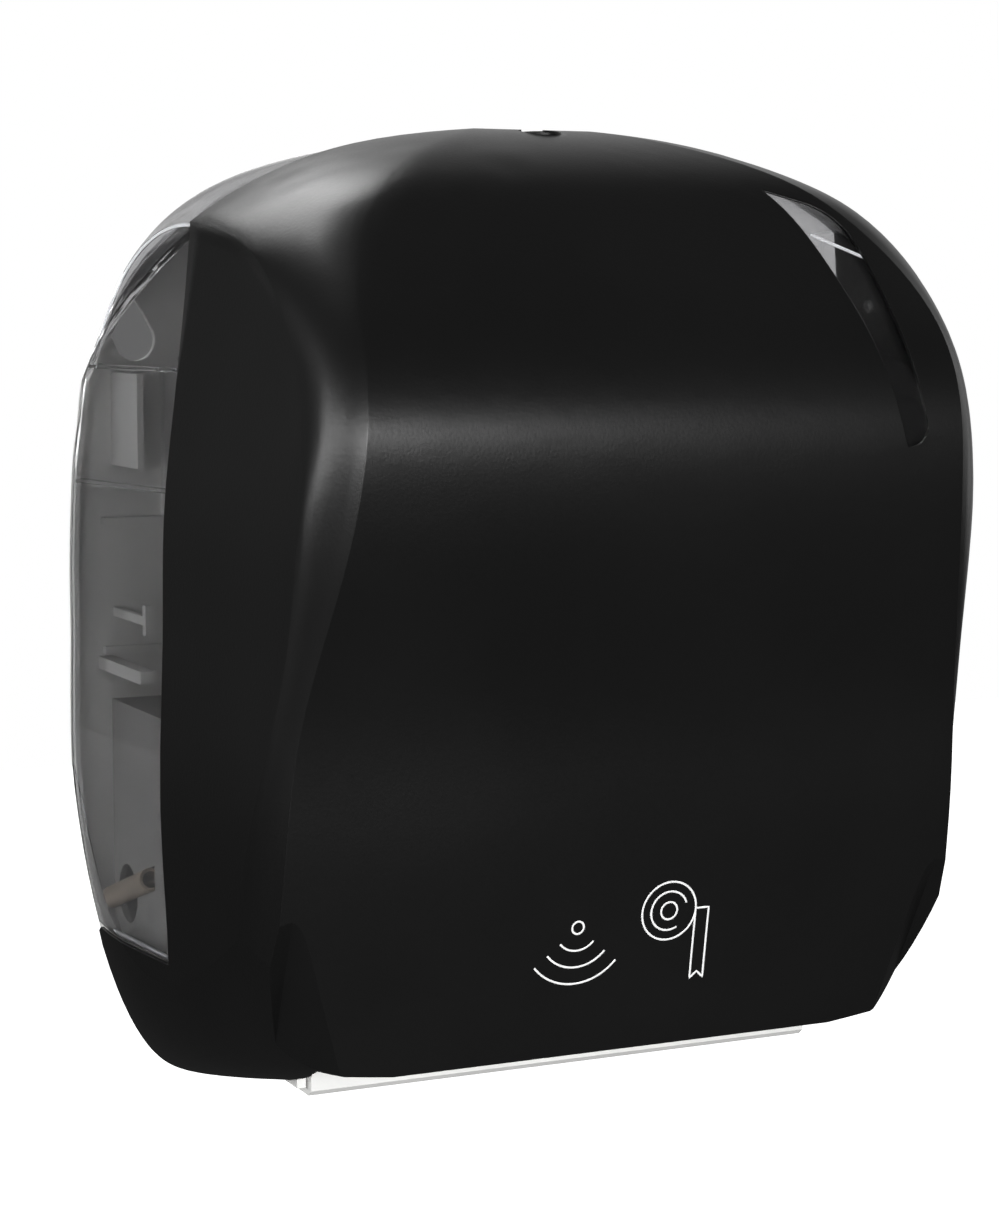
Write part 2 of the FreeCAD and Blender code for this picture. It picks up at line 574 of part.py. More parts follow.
for side in (-1, 1):
    spread = (ear_end - 7, ear_end) if side > 0 else (-ear_end, 7 - ear_end)
    ears.append(rod("ear_eye_%d" % side, "X", cell.HingeEyeRadius, *spread, cell.HingeDepth, cell.HingeHeight))
    ears.append(block("ear_arm_%d" % side, spread, (cell.PlateWall - 1, cell.HingeDepth),
                      (cell.HingeHeight - 4, cell.HingeHeight + cell.HingeEyeRadius)))
ear_bores = rod("ear_bores", "X", cell.HingePin, -130, 130, cell.HingeDepth, cell.HingeHeight)
rails = []
for side in (-1, 1):
    rails.append(block("rail_%d" % side, (side * 140 - 1.3, side * 140 + 1.3), (cell.PlateWall - 1, 37), (246, 283)))
    rails.append(block("hook_arm_%d" % side, (side * 140 - 1.3, side * 140 + 1.3), (cell.PlateWall - 1, 44),
                       (185, 188.5)))
    rails.append(block("hook_end_%d" % side, (side * 140 - 1.3, side * 140 + 1.3), (40.5, 44), (181, 193)))
    rails.append(block("ledge_%d" % side, (side * 145 - 3, side * 145 + 3), (cell.PlateWall - 1, 58), (164, 169)))
PLATE_SCREWS = [(-12.6, 5, 332), (-12.6, 5, 343)]
PLATE_SCREWS += [(cell.ArmInner - 3, cell.RibDepth + 4, cell.RollHeight + up) for up in (-20, 20)]


def screw_bores(name, gap):
    """Holes for the plate screws."""
    return [rod("%s_bore_%d" % (name, index), "Y", cell.ScrewShank + gap, 0.9, seat + 1, x, height)
            for index, (x, seat, height) in enumerate(PLATE_SCREWS)]


plate_body = fuse("plate_body", plate_panel, *bosses, *plate_ribs, *pads, *frame_feet, *ears, *rails)
node("back_plate", cut("back_plate", plate_body, ear_bores, *screw_holes, *keyholes, *screw_bores("plate", 0)))

node("hinge_pins", group("hinge_pins", *[
    rod("hinge_pin_%d" % side, "X", cell.HingePin, *sorted((side * 110.5, side * (cell.OpeningHalf + cell.EyeWidth + 0.5)),
                                                            key=float), cell.HingeDepth, cell.HingeHeight)
    for side in (-1, 1)]))

# Catch for the lock: a steel strip from the top of the back plate, with a tab in front of the finger
arm_top = cell.CamHeight - 2.4
catch_wide = (-20, -6.4)
catch = fuse("cover_catch",
             block("catch_flange", catch_wide, (cell.PlateWall, cell.PlateWall + 2), (326, arm_top)),
             block("catch_arm", catch_wide, (cell.PlateWall, top_depth + 6.5), (arm_top - 2, arm_top)),
             block("catch_tab", (-14, -8.4), (top_depth + 4, top_depth + 6.5), (arm_top - 1, cell.CamHeight + 2.2)),
             block("catch_rib", (-13.4, -11.8), (cell.PlateWall, top_depth + 2), (arm_top - 6, arm_top - 1)))
node("cover_catch", cut("catch_drilled", catch, *screw_bores("catch", 0.1)))

# Side frames: housings that carry the drive, open towards the middle and closed there by a bearing plate
FRAME_OUTLINE = [(cell.FrameBack, 66), (66, cell.FrameFoot - 4), (140, cell.FrameFoot + 2), (cell.FrameFront, 60),
                 (cell.FrameFront, 112), (128, 140), (104, cell.FrameTop), (cell.FrameBack, cell.FrameTop)]


def across(side, inner, outer):
    """The range of X from inner to outer on one side."""
    return (inner, outer) if side > 0 else (-outer, -inner)


def frame_room(name, side, inner, outer, trim):
    """The frame's outline, set in by trim, over a range of X: the front part stops at the step."""
    corners = [(cell.FrameBack + trim, 66 + trim * 0.5), (66, cell.FrameFoot - 4 + trim),
               (140 - trim * 0.5, cell.FrameFoot + 2 + trim), (cell.FrameFront - trim, 60),
               (cell.FrameFront - trim, 112 - trim * 0.5), (128 - trim * 0.3, 140 - trim),
               (104, cell.FrameTop - trim), (cell.FrameBack + trim, cell.FrameTop - trim)]
    rear = [(depth, height) for depth, height in corners[:2]]
    rear += [(cell.FrameShoulder - trim, cell.FrameFoot - 2.5 + trim), (cell.FrameShoulder - trim, cell.FrameTop - trim),
             (cell.FrameBack + trim, cell.FrameTop - trim)]
    step = cell.FrameStep - trim
    return fuse(name, slab(name + "_front", "X", corners, *across(side, inner, step)),
                slab(name + "_rear", "X", rear, *across(side, inner, outer)))


def within(name, thing, inset):
    """What of a thing lies inside the cover's form, set in by inset."""
    result = doc.addObject("Part::Common", name)
    result.Base = thing
    result.Tool = shaped(name + "_room", form(inset))
    return result


def side_frame(name, side):
    """A tray that follows the cover's inside, with bosses for the bearing plate's screws."""
    outside = frame_room(name + "_out", side, cell.FrameOpen, cell.FrameFace, as_size(0))
    outside = within(name + "_skin", outside, frame_inset)
    inside = frame_room(name + "_in", side, cell.FrameOpen - 1, cell.FrameFace - cell.FrameWall, cell.FrameWall)
    inside = within(name + "_hollow_in", inside, frame_inset + float(cell.FrameWall))
    entry = rod(name + "_entry", "X", cell.CableHole, *across(side, cell.FrameStep, cell.FrameFace + 1),
                cell.CableDepth, cell.CableHeight)
    tube_half = (cell.CableRadius + 0.15) * 1.06
    slot = slab(name + "_slot", "X",
                [(cell.FrameBack - 1, 72.1 - tube_half), (66, 89.6 - tube_half), (66, 89.6 + tube_half),
                 (cell.FrameBack - 1, 72.1 + tube_half)],
                *across(side, cell.FrameFace - 4.6, cell.FrameFace + 1))
    bosses = [rod(name + "_boss_%d" % index, "X", 4,
                  *across(side, cell.FrameOpen, (cell.FrameFace if spot[0] < 60 else cell.FrameStep) - 1), *spot)
              for index, spot in enumerate(FRAME_SCREWS)]
    hollow = cut(name + "_hollow", outside, inside)
    holes = [rod(name + "_hole_%d" % index, "X", cell.ScrewShank, *across(side, cell.FrameOpen - 1, cell.FrameOpen + 10),
                 *spot) for index, spot in enumerate(FRAME_SCREWS)]
    if side < 0:
        holes.append(rod(name + "_button", "Y", button_hole, 140, cell.FrameFront + 1, button_x, button_height))
    return cut(name, fuse(name + "_walls", hollow, *bosses), entry, slot, *holes)


FRAME_SCREWS = ((24, 143), (146, 66), (112, 142))
frame_inset = clear_in + 2.5
board_x = -(cell.FrameOpen + 6)
button_x = board_x - cell.BoardWall - 1.5
button_height = 86
button_hole = cell.ButtonRadius + cell.RunningFit
node("side_frame_left", side_frame("side_frame_left", -1))
node("side_frame_right", side_frame("side_frame_right", 1))

feed_axis = (cell.FeedDepth, cell.FeedHeight)
feed_outer = cell.FeedCore + cell.FeedRubber
press_axis = (cell.FeedDepth - feed_outer - cell.PressRadius - cell.NipGap, cell.FeedHeight)
pitch = cell.GearModule / 2
drum_pitch, idler_pitch, pinion_pitch = (pitch * teeth for teeth in (cell.DrumTeeth, cell.IdlerTeeth,
                                                                     cell.PinionTeeth))
idler_drop = math.sqrt(float(drum_pitch + idler_pitch + cell.GearBacklash) ** 2
                       - float(cell.FeedDepth - cell.IdlerDepth) ** 2)
idler_axis = (cell.IdlerDepth, cell.FeedHeight - idler_drop)
pinion_drop = math.sqrt(float(idler_pitch + pinion_pitch + cell.GearBacklash) ** 2
                        - float(cell.IdlerDepth - cell.PinionDepth) ** 2)
pinion_axis = (cell.PinionDepth, idler_axis[1] - pinion_drop)
bush_bore = cell.FeedShaft + cell.RunningFit
bush_outer = cell.FeedShaft + 3


def bearing_plate(name, side):
    """The wall that closes a side frame and carries the shafts."""
    span = across(side, cell.FrameOpen - cell.BearingWall, cell.FrameOpen)
    cutters = across(side, cell.FrameOpen - cell.BearingWall - 1, cell.FrameOpen + 1)
    plate = slab(name + "_plate", "X", FRAME_OUTLINE, *span)
    holes = [rod(name + "_feed", "X", bush_outer, *cutters, *feed_axis),
             rod(name + "_press", "X", cell.PressShaft + cell.RunningFit, *cutters, *press_axis)]
    holes += [rod(name + "_screw_%d" % index, "X", cell.ScrewShank + 0.1, *cutters, *spot)
              for index, spot in enumerate(FRAME_SCREWS)]
    if side > 0:
        holes.append(rod(name + "_motor", "X", 5, *cutters, *pinion_axis))
        holes.append(rod(name + "_idler", "X", 2.5, *cutters, *idler_axis))
    return cut(name, plate, *holes)


node("bearing_plate_left", bearing_plate("bearing_plate_left", -1))
node("bearing_plate_right", bearing_plate("bearing_plate_right", 1))
node("frame_screws", group("frame_screws", *[
    fuse("frame_screw_%d_%d" % (side, index),
         rod("screw_head_%d_%d" % (side, index), "X", cell.ScrewHead,
             *across(side, cell.FrameOpen - cell.BearingWall - cell.ScrewHeadTall, cell.FrameOpen - cell.BearingWall), *spot),
         rod("screw_shank_%d_%d" % (side, index), "X", cell.ScrewShank,
             *across(side, cell.FrameOpen - cell.BearingWall - 0.5, cell.FrameOpen + 9), *spot))
    for side in (-1, 1) for index, spot in enumerate(FRAME_SCREWS)]))

# Feed roller with its rubber sleeves, shaft, bushes and gear
shaft_end = cell.GearStart + cell.GearWidth + 4
node("feed_shaft", rod("feed_shaft", "X", cell.FeedShaft, -(cell.FrameOpen + 3), shaft_end, *feed_axis))
core_groove = cell.FeedCore - 3
core_corners = [(-cell.FeedHalf, cell.FeedShaft), (-cell.FeedHalf, cell.FeedCore)]
for step in (-1, 0, 1):
    if step > -1:
        gap = step * cell.SleevePitch - cell.SleevePitch / 2
        core_corners += [(gap - 4, cell.FeedCore), (gap - 4, core_groove), (gap + 4, core_groove), (gap + 4, cell.FeedCore)]
core_corners += [(cell.FeedHalf, cell.FeedCore), (cell.FeedHalf, cell.FeedShaft)]
node("feed_roller", turned("feed_roller", "X", *feed_axis, core_corners))
sleeves = []
for step in (-1, 0, 1):
    middle = step * cell.SleevePitch
    span = (middle - cell.SleeveWidth / 2, middle + cell.SleeveWidth / 2)
    sleeves.append(turned("sleeve_%d" % step, "X", *feed_axis,
                          [(span[0], cell.FeedCore), (span[0], feed_outer - 0.8), (span[0] + 0.8, feed_outer),
                           (span[1] - 0.8, feed_outer), (span[1], feed_outer - 0.8), (span[1], cell.FeedCore)]))
node("feed_sleeves", group("feed_sleeves", *sleeves))
bushes = []
for side in (-1, 1):
    inner, outer = across(side, cell.FrameOpen - cell.BearingWall - 2, cell.FrameOpen + 1)
    flange = across(side, cell.FrameOpen - cell.BearingWall - 2, cell.FrameOpen - cell.BearingWall)
    solid = fuse("bush_solid_%d" % side, rod("bush_tube_%d" % side, "X", bush_outer, inner, outer, *feed_axis),
                 rod("bush_flange_%d" % side, "X", bush_outer + 2, *flange, *feed_axis))
    bushes.append(cut("bush_%d" % side, solid, rod("bush_bore_%d" % side, "X", bush_bore, inner - 1, outer + 1, *feed_axis)))
node("feed_bushes", group("feed_bushes", *bushes))


def gear(teeth, bore, start, width, axis, turn=0.0):
    """A spur gear across X: straight-sided teeth of the pitch's height, with a bore."""
    module, count = float(cell.GearModule), int(float(teeth))
    pitch_radius = module * count / 2
    step = 2 * math.pi / count
    corners = []
    for index in range(count):
        middle = turn + index * step
        for share, radius in ((-0.36, -1.2), (-0.14, 0.9), (0.14, 0.9), (0.36, -1.2)):
            angle = middle + share * step
            reach = pitch_radius + radius * module
            corners.append(Vector(float(start), -float(axis[0]) + reach * math.cos(angle),
                                  float(axis[1]) + reach * math.sin(angle)))
    blank = Part.Face(Part.makePolygon(corners + corners[:1])).extrude(Vector(float(width), 0, 0))
    hole = Part.makeCylinder(float(bore), float(width) + 2, Vector(float(start) - 1, -float(axis[0]), float(axis[1])),
                             Vector(1, 0, 0))
    return blank.cut(hole)


def facing(start, end):
    """The angle, from the rear towards up, at which one axis sees another."""
    return math.atan2(float(end[1]) - float(start[1]), float(start[0]) - float(end[0]))


# Each gear is turned so that a tooth of one stands in a gap of the next
drum_gear = gear(cell.DrumTeeth, cell.FeedShaft, cell.GearStart, cell.GearWidth, feed_axis, facing(feed_axis, idler_axis))
drum_step, idler_step, pinion_step = (2 * math.pi / float(teeth) for teeth in
                                      (cell.DrumTeeth, cell.IdlerTeeth, cell.PinionTeeth))
idler_turn = facing(idler_axis, feed_axis) + idler_step / 2
share = ((facing(idler_axis, pinion_axis) - idler_turn) / idler_step) % 1
pinion_turn = facing(pinion_axis, idler_axis) + (0.5 + share) * pinion_step
node("drum_gear", shaped("drum_gear", drum_gear))
node("idler_gear", shaped("idler_gear", gear(cell.IdlerTeeth, 2.5 + float(cell.RunningFit), cell.GearStart,
                                             cell.GearWidth, idler_axis, idler_turn)))
node("motor_pinion", shaped("motor_pinion", gear(cell.PinionTeeth, 1.5, cell.GearStart, cell.GearWidth,
                                                 pinion_axis, pinion_turn)))
node("idler_pin", rod("idler_pin", "X", 2.5, cell.FrameOpen - cell.BearingWall, shaft_end, *idler_axis))
motor_end = cell.FrameOpen - cell.BearingWall
motor = fuse("motor_parts",
             rod("motor_can", "X", cell.MotorRadius, motor_end - cell.MotorLength, motor_end, *pinion_axis),
             rod("motor_nose", "X", 4.9, motor_end - 1, cell.FrameOpen, *pinion_axis),
             rod("motor_tail", "X", 4, motor_end - cell.MotorLength - 3, motor_end - cell.MotorLength + 1, *pinion_axis))
node("motor", motor)
node("motor_shaft", rod("motor_shaft", "X", 1.5, cell.FrameOpen + 0.1, cell.GearStart + cell.GearWidth, *pinion_axis))

# Pressure roller, with a thin shaft, and the leaf springs that hold it to the feed roller
node("pressure_roller", turned("pressure_roller", "X", *press_axis,
                               [(-cell.PressHalf, cell.PressShaft), (-cell.PressHalf, cell.PressRadius - 1),
                                (1 - cell.PressHalf, cell.PressRadius), (cell.PressHalf - 1, cell.PressRadius),
                                (cell.PressHalf, cell.PressRadius - 1), (cell.PressHalf, cell.PressShaft)]))
node("pressure_shaft", rod("pressure_shaft", "X", cell.PressShaft, -cell.FrameOpen, cell.FrameOpen, *press_axis))
touch = press_axis[0] - cell.PressShaft - cell.SlideGap
springs = []
for side in (-1, 1):
    springs.append(slab("leaf_%d" % side, "X",
                        [(touch - 14, cell.FeedHeight + 16), (touch - 1, cell.FeedHeight + 6), (touch, cell.FeedHeight),
                         (touch - 1, cell.FeedHeight - 6), (touch - 1.8, cell.FeedHeight - 6),
                         (touch - 0.8, cell.FeedHeight), (touch - 1.8, cell.FeedHeight + 5.6),
                         (touch - 14.6, cell.FeedHeight + 15.4)],
                        *across(side, cell.FrameOpen - cell.BearingWall - 6, cell.FrameOpen - cell.BearingWall)))
node("pressure_springs", group("pressure_springs", *springs))

# Roll holder: two arms from the back plate with a hub each; the left arm swings outwards to take a roll
roll_axis = (cell.RollDepth, cell.RollHeight)


def roll_arm(name, side, foot):
    """An arm in side view: a wide foot at the back plate, tapering to a round end, with a rib and an axle."""
    inner, outer = across(side, cell.ArmInner, cell.ArmInner + cell.ArmWall)
    blade = slab(name + "_blade", "X",
                 [(foot, cell.RollHeight - 27), (foot + 18, cell.RollHeight - 25), (cell.RollDepth, cell.RollHeight - cell.ArmEnd),
                  (cell.RollDepth, cell.RollHeight + cell.ArmEnd), (foot + 18, cell.RollHeight + 25),
                  (foot, cell.RollHeight + 27)], inner, outer)
    end = rod(name + "_end", "X", cell.ArmEnd, inner, outer, *roll_axis)
    rib = slab(name + "_rib", "X", [(foot, cell.RollHeight - 12), (cell.RollDepth - 12, cell.RollHeight - 3),
                                    (cell.RollDepth - 12, cell.RollHeight + 3), (foot, cell.RollHeight + 12)],
               *across(side, cell.ArmInner + 1, cell.ArmInner + cell.ArmWall + 3))
    axle = rod(name + "_axle", "X", cell.HubAxle, *across(side, cell.ArmInner - cell.HubWidth + 1, cell.ArmInner + 1),
               *roll_axis)
    return [blade, end, rib, axle]


fixed_foot = block("right_foot", across(1, cell.ArmInner - 6, cell.ArmInner + cell.ArmWall + 6),
                   (cell.RibDepth, cell.RibDepth + 4), (cell.RollHeight - 27, cell.RollHeight + 27))
node("roll_arm_right", cut("right_drilled", fuse("right_solid", fixed_foot, *roll_arm("right", 1, cell.RibDepth + 2)),
                           *screw_bores("arm", 0.1)))
pivot_x = -(cell.ArmInner + 2)
knuckle = rod("left_knuckle", "Z", 4, cell.RollHeight - 27, cell.RollHeight + 19.7, pivot_x, cell.ArmPivotDepth)
arm_bore = rod("left_bore", "Z", 1.5 + cell.RunningFit, cell.RollHeight - 30, cell.RollHeight + 30, pivot_x,
               cell.ArmPivotDepth)
coil_low = cell.RollHeight + 20
coil_high = cell.RollHeight + 27
coil_room = rod("coil_room", "Z", 3.5, cell.RollHeight + 19.7, coil_high + 1, pivot_x, cell.ArmPivotDepth)
node("roll_arm_left", cut("roll_arm_left", fuse("left_solid", knuckle, *roll_arm("left", -1, cell.ArmPivotDepth)),
                          arm_bore, coil_room))
node("arm_pin", rod("arm_pin", "Z", 1.5, cell.RollHeight - 34, cell.RollHeight + 34, pivot_x, cell.ArmPivotDepth))
holder = fuse("holder_parts",
              block("holder_base", (pivot_x - 8, pivot_x + 8), (cell.RibDepth, cell.RibDepth + 2.4),
                    (cell.RollHeight - 34, cell.RollHeight + 34)),
              *[block("holder_ear_%d" % side, (pivot_x - 4, pivot_x + 4), (cell.RibDepth, cell.ArmPivotDepth + 4),
                      (cell.RollHeight + side * 30.5 - 3.2, cell.RollHeight + side * 30.5 + 3.2)) for side in (-1, 1)])
node("arm_bracket", cut("arm_bracket", holder,
                        rod("holder_bore", "Z", 1.5, cell.RollHeight - 36, cell.RollHeight + 36, pivot_x,
                            cell.ArmPivotDepth)))
coil = fuse("coil_parts",
            rod("coil_tube", "Z", 3.1, coil_low, coil_high, pivot_x, cell.ArmPivotDepth),
            block("coil_leg", (pivot_x - 3.4, pivot_x - 2.4), (cell.ArmPivotDepth, cell.ArmPivotDepth + 12),
                  (coil_high - 1, coil_high)),
            block("coil_tail", (pivot_x + 2.1, pivot_x + 3.1), (cell.RibDepth + 2.4, cell.ArmPivotDepth),
                  (coil_low, coil_low + 1)))
node("arm_spring", cut("arm_spring", coil, rod("coil_bore", "Z", 1.9, coil_low - 1, coil_high + 1, pivot_x,
                                               cell.ArmPivotDepth)))
for name, side in (("hub_left", -1), ("hub_right", 1)):
    face, tip = cell.ArmInner - cell.SlideGap, cell.ArmInner - cell.HubWidth
    bore = cell.HubAxle + cell.RunningFit
    hub = turned(name, "X", *roll_axis,
                 [(side * face, bore), (side * face, cell.HubRadius + 3), (side * (face - 2), cell.HubRadius + 3),
                  (side * (face - 2), cell.HubRadius), (side * (tip + 2), cell.HubTip), (side * tip, cell.HubTip - 2),
                  (side * tip, bore)])
    node(name, hub)

# Battery box with four cells side by side, lying along depth, and a door hinged at its top
box_top = cell.BoxLow + cell.BoxTall
cell_height = cell.BoxLow + cell.BoxTall / 2
box_back = cell.RibDepth
inner_back = box_back + cell.BoxWall
box_out = block("box_out", (-cell.BoxHalf, cell.BoxHalf), (box_back, cell.BoxFront), (cell.BoxLow, box_top))
box_in = block("box_in", (-cell.BoxHalf + cell.BoxWall, cell.BoxHalf - cell.BoxWall),
               (inner_back, cell.BoxFront + 1), (cell.BoxLow + cell.BoxWall, box_top - cell.BoxWall))
pin_radius = 1.2
door_axis = (cell.BoxFront + 2.2, box_top + 1.6)
hinge_ears = [block("door_ear_%d" % side, across(side, 60, 63), (cell.BoxFront - 5, door_axis[0] + 2.4),
                    (box_top - 1, door_axis[1] + 2.4)) for side in (-1, 1)]
box_bore = rod("door_ear_bore", "X", pin_radius, -70, 70, *door_axis)
node("battery_box", cut("battery_box", fuse("box_walls", cut("box_hollow", box_out, box_in), *hinge_ears), box_bore))
cell_places = [cell.CellPitch * (index - 1.5) for index in range(4)]
cell_start = inner_back + 0.6
node("batteries", group("batteries", *[
    fuse("cell_%d" % index,
         rod("cell_body_%d" % index, "Y", cell.CellRadius, cell_start, cell_start + cell.CellLength - 2, place_x, cell_height),
         rod("cell_tip_%d" % index, "Y", 4.7, cell_start + cell.CellLength - 2.1, cell_start + cell.CellLength - 0.4,
             place_x, cell_height))
    for index, place_x in enumerate(cell_places)]))
node("battery_contacts", group("battery_contacts", *[
    block("contact_%d" % index, (place_x - 6, place_x + 6), (inner_back, cell_start), (cell_height - 6, cell_height + 6))
    for index, place_x in enumerate(cell_places)]))
door_start = cell.BoxFront + cell.SlideGap
door_corners = (cell.BoxLow + 0.6, box_top - 1.4)
door = fuse("door_parts",
            block("door_panel", (-cell.BoxHalf + 0.4, cell.BoxHalf - 0.4), (door_start, door_start + cell.DoorWall), door_corners),
            rod("door_knuckle", "X", 2.3, -59.6, 59.6, *door_axis),
            block("door_web", (-59.6, 59.6), (door_start, door_start + cell.DoorWall), (box_top - 2, door_axis[1])),
            block("door_grip", (-14, 14), (door_start + cell.DoorWall - 0.5, door_start + cell.DoorWall + 2.4),
                  (cell.BoxLow + 3, cell.BoxLow + 6)))
door_notches = [block("door_notch_%d" % side, across(side, 59.6, 63.4), (cell.BoxFront, cell.BoxFront + 6),
                      (box_top - 5, box_top + 6)) for side in (-1, 1)]
node("battery_door", cut("battery_door", door, *door_notches,
                         rod("door_bore", "X", pin_radius + cell.RunningFit, -70, 70, *door_axis)))
node("door_pin", rod("door_pin", "X", pin_radius, -63.5, 63.5, *door_axis))

# Outlet: the white tray below the lip, the paper guide above it and the toothed tear blade
tray_top = cell.TrayLow + cell.TrayTall
tray_out = slab("tray_out", "X",
                [(cell.TrayBack, cell.TrayLow + 3), (cell.TrayBack + 4, cell.TrayLow), (cell.TrayFront - 3, cell.TrayLow),
                 (cell.TrayFront, cell.TrayLow + 2.4), (cell.TrayFront, tray_top - 6), (cell.TrayFront - 6, tray_top),
                 (cell.TrayBack, tray_top)], -cell.TrayHalf, cell.TrayHalf)
tray_in = block("tray_in", (-cell.TrayHalf + cell.TrayWall, cell.TrayHalf - cell.TrayWall),
                (cell.TrayBack + cell.TrayWall, cell.SlotBack - 2), (cell.TrayLow + cell.TrayWall, tray_top + 1))
slot = block("outlet_slot", (-cell.SlotHalf, cell.SlotHalf), (cell.SlotBack, cell.SlotFront),
             (cell.TrayLow - 1, tray_top + 1))
tray_ends = []
for side in (-1, 1):
    tray_ends.append(block("tray_end_%d" % side, across(side, cell.TrayHalf + 1.1, cell.FrameOpen), (98, cell.TrayFront - 3),
                           (cell.TrayLow + 3.4, cell.FrameFoot - 1.6)))
    tray_ends.append(block("tray_link_%d" % side, across(side, cell.TrayHalf - 1, cell.TrayHalf + 2), (98, 116),
                           (cell.TrayLow + 5, tray_top - 1)))
lens_spots = [(side * 9, 140) for side in (-1, 1)]
shelf = block("sensor_shelf", (-24, 24), (cell.TrayFront - 8, 150), (tray_top - 6.4, tray_top - 4))
lens_holes = [rod("shelf_hole_%d" % x, "Z", cell.LensRadius, 0, 60, x, depth) for x, depth in lens_spots]
node("outlet_tray", cut("outlet_tray", fuse("tray_walls", cut("tray_hollow", tray_out, tray_in), *tray_ends, shelf),
                        slot, *lens_holes))
node("sensor_lens", group("sensor_lens", *[
    fuse("lens_%d" % x, rod("lens_body_%d" % x, "Z", cell.LensRadius, tray_top - 7.6, tray_top - 3, x, depth),
         rod("lens_flange_%d" % x, "Z", cell.LensRadius + 1.2, tray_top - 4, tray_top - 2.8, x, depth))
    for x, depth in lens_spots]))
board_low = tray_top - 2.8
node("sensor_board", fuse("sensor_board",
                          block("sensor_sheet", (-20, 20), (132, 149), (board_low, board_low + cell.BoardWall)),
                          block("sensor_chip", (-4, 4), (133, 139), (board_low + 1, board_low + 3.4)),
                          block("sensor_plug", (10, 18), (142, 148), (board_low + 1, board_low + 6))))
node("sensor_clips", group("sensor_clips", *[
    fuse("clip_%d" % side,
         block("clip_post_%d" % side, across(side, 20.2, 22), (136, 144), (tray_top - 4, board_low + 3.4)),
         block("clip_barb_%d" % side, across(side, 19, 21), (136, 144), (board_low + cell.BoardWall, board_low + 3.4)))
    for side in (-1, 1)]))

guide_half = cell.FrameOpen - cell.BearingWall - 0.6
guide_foot = tray_top
guide_walls = [
    slab("guide_back", "X", [(cell.SlotBack - 2, guide_foot), (cell.SlotBack, guide_foot), (cell.SlotBack + 2, 66),
                             (press_axis[0] + 4, cell.FeedHeight - cell.PressRadius - 3),
                             (press_axis[0] + 2, cell.FeedHeight - cell.PressRadius - 3), (cell.SlotBack, 66)],
         -cell.SlotHalf, cell.SlotHalf),
    slab("guide_front", "X", [(cell.SlotFront, guide_foot), (cell.SlotFront + 2, guide_foot), (cell.SlotFront + 3, 62),
                              (cell.FeedDepth - 5, cell.FeedHeight - feed_outer - 2.4),
                              (cell.FeedDepth - 7, cell.FeedHeight - feed_outer - 3), (cell.SlotFront + 1, 62)],
         -cell.SlotHalf, cell.SlotHalf)]
for side in (-1, 1):
    guide_walls.append(block("guide_end_%d" % side, across(side, cell.SlotHalf - 1, guide_half),
                             (cell.SlotBack - 2, cell.SlotFront + 2), (guide_foot, 60)))
node("paper_guide", fuse("paper_guide", *guide_walls))


def toothed_blade():
    """A thin strip whose lower edge is a row of pointed teeth."""
    low, pitch_x = float(cell.TrayLow) + 1.5, float(cell.ToothPitch)
    half = float(cell.SlotHalf) - 0.4
    count = int(2 * half / pitch_x)
    left = -count * pitch_x / 2
    depth = float(cell.SlotFront) - float(cell.BladeWall)
    corners = [Vector(left, -depth, low + float(cell.ToothDepth))]
    for index in range(count):
        corners.append(Vector(left + (index + 0.5) * pitch_x, -depth, low))
        corners.append(Vector(left + (index + 1) * pitch_x, -depth, low + float(cell.ToothDepth)))
    top = low + float(cell.BladeTall)
    corners += [Vector(-left, -depth, top), Vector(left, -depth, top)]
    face = Part.Face(Part.makePolygon(corners + corners[:1]))
    return face.extrude(Vector(0, -float(cell.BladeWall), 0))


node("tear_blade", shaped("tear_blade", toothed_blade()))

# Control board in the left frame, with its feed button at the frame's front
board_parts = [block("board_sheet", (board_x - cell.BoardWall, board_x), (58, 146), (71, 110))]
for name, x_reach, deep, tall in (("board_chip", 2, (86, 98), (84, 96)), ("board_plug", 7, (62, 70), (72, 94)),
                                  ("board_relay", 8, (104, 122), (90, 104)), ("board_switch", 3, (141, 146), (83, 89))):
    board_parts.append(block(name, (board_x - cell.BoardWall - x_reach, board_x - 1), deep, tall))
for index, spot in enumerate(((66, 104), (128, 74))):
    board_parts.append(rod("board_post_%d" % index, "X", 2.5, board_x - 0.5, -cell.FrameOpen, *spot))
node("control_board", fuse("control_board", *board_parts))
node("feed_button", fuse("feed_button",
                         rod("button_cap", "Y", cell.ButtonRadius, cell.FrameFront - cell.FrameWall - 0.2,
                             cell.FrameFront + 4.5, button_x, button_height),
                         rod("button_stem", "Y", 1.6, 146 + cell.ButtonTravel + 0.3, cell.FrameFront, button_x,
                             button_height)))

# The open sleeve that leads a cable through the left frame's entry
sleeve_run = Vector(0, -float(cell.CableRun), float(cell.CableRise))
sleeve_start = Vector(-float(cell.FrameFace) - 0.5, -12.5, 71.9)
sleeve = Part.makeCylinder(float(cell.CableRadius), sleeve_run.Length, sleeve_start, sleeve_run)
sleeve_bore = Part.makeCylinder(float(cell.CableRadius) - 1.2, sleeve_run.Length + 2, sleeve_start - sleeve_run * 0.01,
                                sleeve_run)
node("cable_sleeve", shaped("cable_sleeve", sleeve.cut(sleeve_bore)))

# Screws that hold the catch, the roll arms and the drive frames to the back plate
plate_screws = []
for index, (x, seat, height) in enumerate(PLATE_SCREWS):
    plate_screws.append(fuse("plate_screw_%d" % index,
                             rod("plate_head_%d" % index, "Y", cell.ScrewHead, seat, seat + cell.ScrewHeadTall, x, height),
                             rod("plate_shank_%d" % index, "Y", cell.ScrewShank, 1, seat + 1, x, height)))
node("plate_screws", group("plate_screws", *plate_screws))

